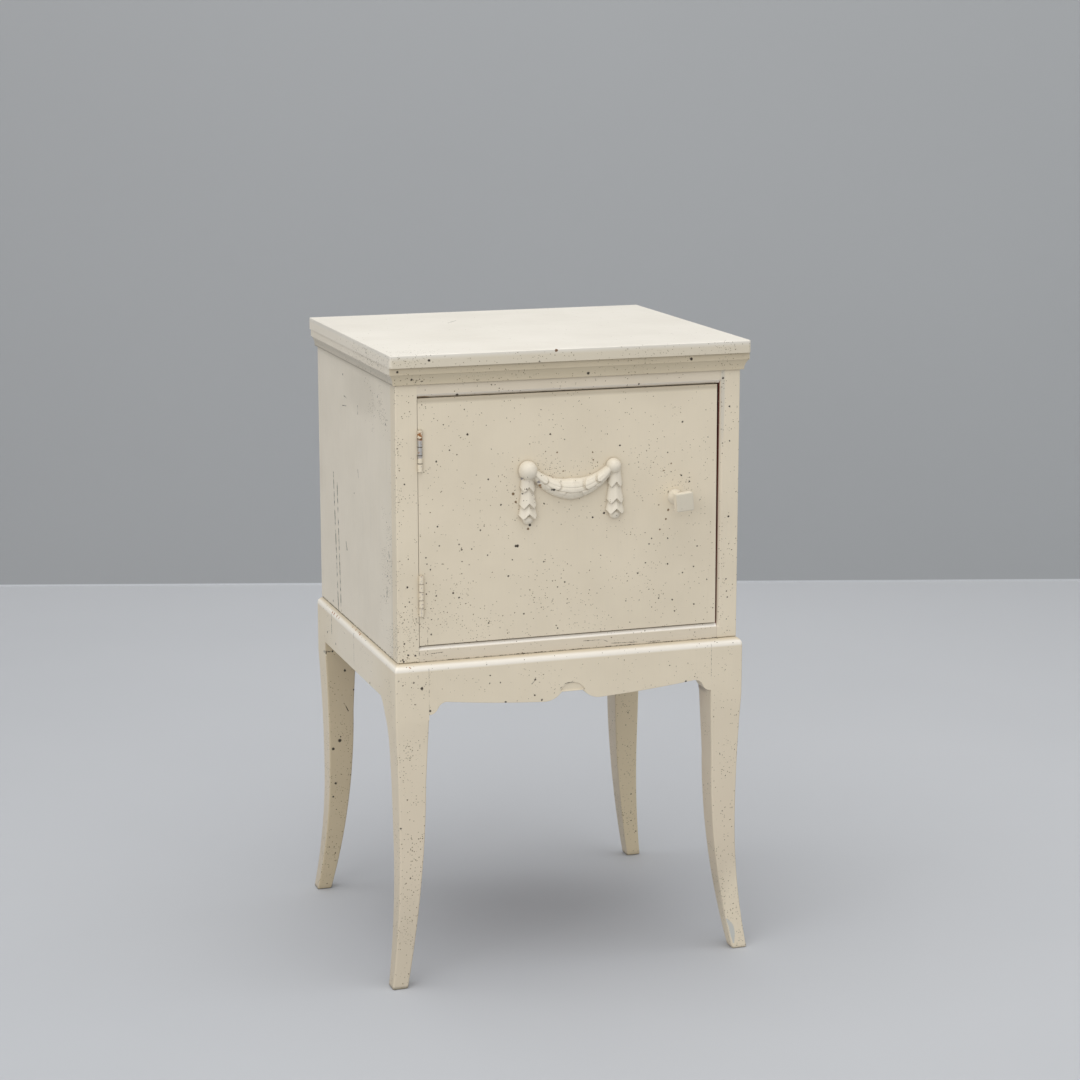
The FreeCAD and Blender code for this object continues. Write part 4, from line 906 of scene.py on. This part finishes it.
def swag_point(run, across):
    """A point of the swag from the left dome to the right, and from its upper edge to its lower."""
    along = 1 - abs(run)
    turn = SWAG_TURN * run
    half = (SWAG_END_WIDTH + SWAG_SWELL * along ** 0.8) / 2
    arch = arched(across)
    thin_out = min(1, 2 * arch)
    rise = (SWAG_END_RELIEF + SWAG_MORE_RELIEF * along) * arch
    if across < SWAG_SEAM:
        back = upper_leaf_back((across + 1) / (SWAG_SEAM + 1))
        part = share_of_leaf(along, RIGHT_TIPS if run > 0 else LEFT_TIPS, back)
        rise += (0.1 + 2.2 * part) * thin_out - groove(part, 0, 0.14, 1.1)
        if along > VEINS_FROM:
            rise -= groove(across, -0.6, 0.06, 0.5) + groove(across, -0.2, 0.07, 0.6)
    elif along > VEINS_FROM:
        part = share_of_leaf(along, LOWER_TIPS, 0.1 * (across - SWAG_SEAM))
        rise += 0.9 * part * thin_out - groove(part, 0, 0.14, 0.6) - groove(across, 0.62, 0.06, 0.5)
    rise -= groove(across, SWAG_SEAM, 0.08, 1)
    if abs(run) > GRID_END:
        rise = 0
    out = SWAG_ROUND + across * half
    depth = DOOR + SUNK - rise * (1 + SUNK / 10)
    return out * math.sin(turn), depth, SWAG_MIDDLE - out * math.cos(turn)


def drop_point(middle, across, run):
    """A point of a drop, from its left edge to its right, and from its foot to its top."""
    along = (1 - run) / 2 * DROP_OVERRUN
    part = share_of_leaf(along, DROP_TIPS, drop_leaf_back(abs(across)))
    half = (DROP_TOP_WIDTH + DROP_FLARE * along) / 2
    rise = 0
    if part is None:
        half *= 0.7
    else:
        half *= 0.8 + 0.22 * part
        relief = DROP_TOP_RELIEF + DROP_MORE_RELIEF * along + SUNK
        rise = relief * (0.68 + 0.34 * part) * arched(across) ** 0.8
    if abs(run) > GRID_END:
        rise = 0
    return middle + across * half, DOOR + SUNK - rise, DOME_Z - along * DROP_LENGTH


def carved_strip(lengthwise, crosswise, place):
    """A fine grid with its points moved to the carving's places, closed on the door's side."""
    bpy.ops.object.select_all(action="DESELECT")
    bpy.ops.mesh.primitive_grid_add(x_subdivisions=lengthwise, y_subdivisions=crosswise, size=2)
    strip = bpy.context.active_object
    for vertex in strip.data.vertices:
        vertex.co = Vector(place(vertex.co.x, vertex.co.y)) * MM
    bpy.ops.object.mode_set(mode="EDIT")
    bpy.ops.mesh.select_mode(type="EDGE")
    bpy.ops.mesh.select_all(action="DESELECT")
    bpy.ops.mesh.select_non_manifold()
    bpy.ops.mesh.edge_face_add()
    bpy.ops.mesh.select_all(action="SELECT")
    bpy.ops.mesh.normals_make_consistent(inside=False)
    bpy.ops.object.mode_set(mode="OBJECT")
    return strip


carvings = [carved_strip(300, 70, swag_point)]
for middle in (-DOME_X, DOME_X):
    carvings.append(carved_strip(60, 140, lambda across, run: drop_point(middle, across, run)))
    foot = Vector((middle, DOOR, DOME_Z - DROP_LENGTH)) * MM
    bpy.ops.mesh.primitive_uv_sphere_add(
        segments=48, ring_count=24, radius=DROP_FOOT_RADIUS * MM, location=foot
    )
    carvings.append(bpy.context.active_object)
garland = copied("painted_garland", ["rosette_left", "rosette_right"], "door", "painted_wood", carving_paint)
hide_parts("swag", "drop_left", "drop_right")
for vertex in garland.data.vertices:
    if vertex.co.x > 0:
        vertex.co.x = (vertex.co.x - DOME_X * MM) * RIGHT_DOME + (DOME_X - RIGHT_DOME_SHIFT) * MM
        vertex.co.z = (vertex.co.z - DOME_Z * MM) * RIGHT_DOME + DOME_Z * MM
for carving in carvings:
    carving.select_set(True)
bpy.ops.object.join()
remesh = garland.modifiers.new("skin", "REMESH")
remesh.mode = "VOXEL"
remesh.voxel_size = 0.4 * MM
bpy.ops.object.modifier_apply(modifier="skin")
smooth = garland.modifiers.new("paint_fill", "SMOOTH")
smooth.factor = 0.5
smooth.iterations = 2
bpy.ops.object.modifier_apply(modifier="paint_fill")
bpy.ops.object.shade_smooth()

# The CAD's own pieces that still show: hinges, screws, and the bare boards inside and behind.
for name, item in nodes.items():
    if item.hide_render:
        continue
    finish = raw_wood
    if "hinge_upper" in name:
        finish = upper_hinge
    elif "hinge_lower" in name:
        finish = lower_hinge
    elif "screw" in name:
        finish = steel
    elif "cleat" in name:
        finish = cleat_wood
    elif name in ("shelf", "bottom_board"):
        finish = shelf_wood
    for slot in item.material_slots:
        slot.material = finish

# The room: a pale painted floor and a grey wall behind, each seen from its lit side alone.
ROOM_SIZE = 14
WALL_AWAY = 1.79
WALL_TURN = math.radians(1.4)
WALL_FOOT_LINE = "#C8CACC"
CLOUD_SIZE = 700


def room_paint(name, code, pale, slope, foot=0):
    """Matt emulsion, uneven and paler along a slope, and with a pale line up to the height of its foot."""
    material, tree = new_material(name)
    place = in_millimetres(tree)
    cloud = noise(tree, place, CLOUD_SIZE, 3)
    along = on_vectors(tree, "DOT_PRODUCT", place, slope)
    share = on_numbers(tree, "MULTIPLY_ADD", cloud, 0.4, along)
    colour = painted_over(tree, ramp(tree, share, -0.3, 0.7), linear(code), pale)
    if foot:
        height = add(tree, "SeparateXYZ", {0: place}).outputs["Y"]
        line = on_numbers(tree, "LESS_THAN", height, foot)
        colour = painted_over(tree, line, colour, WALL_FOOT_LINE)
    lit = add(tree, "BsdfPrincipled", {"Base Color": colour, "Roughness": 0.7})
    through = add(tree, "BsdfTransparent")
    behind = add(tree, "NewGeometry").outputs["Backfacing"]
    surface = add(tree, "MixShader", {0: behind, 1: lit, 2: through})
    add(tree, "OutputMaterial", {"Surface": surface})
    return material


looking = Vector((0.3109, 0.9282, -0.2046)).normalized()
heading = Vector((looking.x, looking.y, 0)).normalized()
# The floor grows paler to the right and towards the back: painted light, for the light's fall across it.
bpy.ops.mesh.primitive_plane_add(size=ROOM_SIZE)
floor = bpy.context.active_object
floor.name = "floor"
floor.data.materials.append(room_paint("pale_floor_paint", "#B0B2B5", "#C5C6C8", (1 / 3000, 1 / 4500, 0)))
bpy.ops.mesh.primitive_plane_add(size=ROOM_SIZE)
wall = bpy.context.active_object
wall.name = "wall"
wall.matrix_world = (
    Matrix.Translation(heading * WALL_AWAY)
    @ Matrix.Rotation(math.atan2(heading.y, heading.x) - math.pi / 2 + WALL_TURN, 4, "Z")
    @ Matrix.Rotation(math.pi / 2, 4, "X")
)
wall.data.materials.append(room_paint("grey_wall_paint", "#9D9E9F", "#A5A7A8", (1 / 3500, 0, 0), foot=3))

LIT_PLACE = Vector((0, 0, 0.4))


def soft_light(name, wide, tall, watts, place):
    """A soft box of light, turned to the nightstand."""
    lamp_data = bpy.data.lights.new(name, "AREA")
    lamp_data.shape = "RECTANGLE"
    lamp_data.size = wide
    lamp_data.size_y = tall
    lamp_data.energy = watts
    lamp = bpy.data.objects.new(name, lamp_data)
    bpy.context.scene.collection.objects.link(lamp)
    lamp.location = place
    lamp.rotation_mode = "QUATERNION"
    lamp.rotation_quaternion = (LIT_PLACE - lamp.location).to_track_quat("-Z", "Y")


# A large soft light overhead, a weaker one in front, and the light of a pale room.
soft_light("soft_overhead", wide=3, tall=3, watts=54, place=(-0.2, -0.15, 3))
soft_light("soft_front", wide=3, tall=2, watts=30, place=(-2.2, -2.7, 1.8))
world = bpy.data.worlds.new("pale_room")
world.use_nodes = True
world.node_tree.nodes["Background"].inputs["Color"].default_value = linear("#F2F4F7")
world.node_tree.nodes["Background"].inputs["Strength"].default_value = 0.82
bpy.context.scene.world = world

# The photograph's camera.
camera_data = bpy.data.cameras.new("camera")
camera_data.sensor_width = 36
camera_data.lens = 85.94
camera = bpy.data.objects.new("camera", camera_data)
bpy.context.scene.collection.objects.link(camera)
camera.location = (-0.9042, -2.7536, 1.0625)
camera.rotation_mode = "QUATERNION"
camera.rotation_quaternion = looking.to_track_quat("-Z", "Y")
bpy.context.scene.camera = camera
bpy.context.scene.view_settings.view_transform = "Standard"
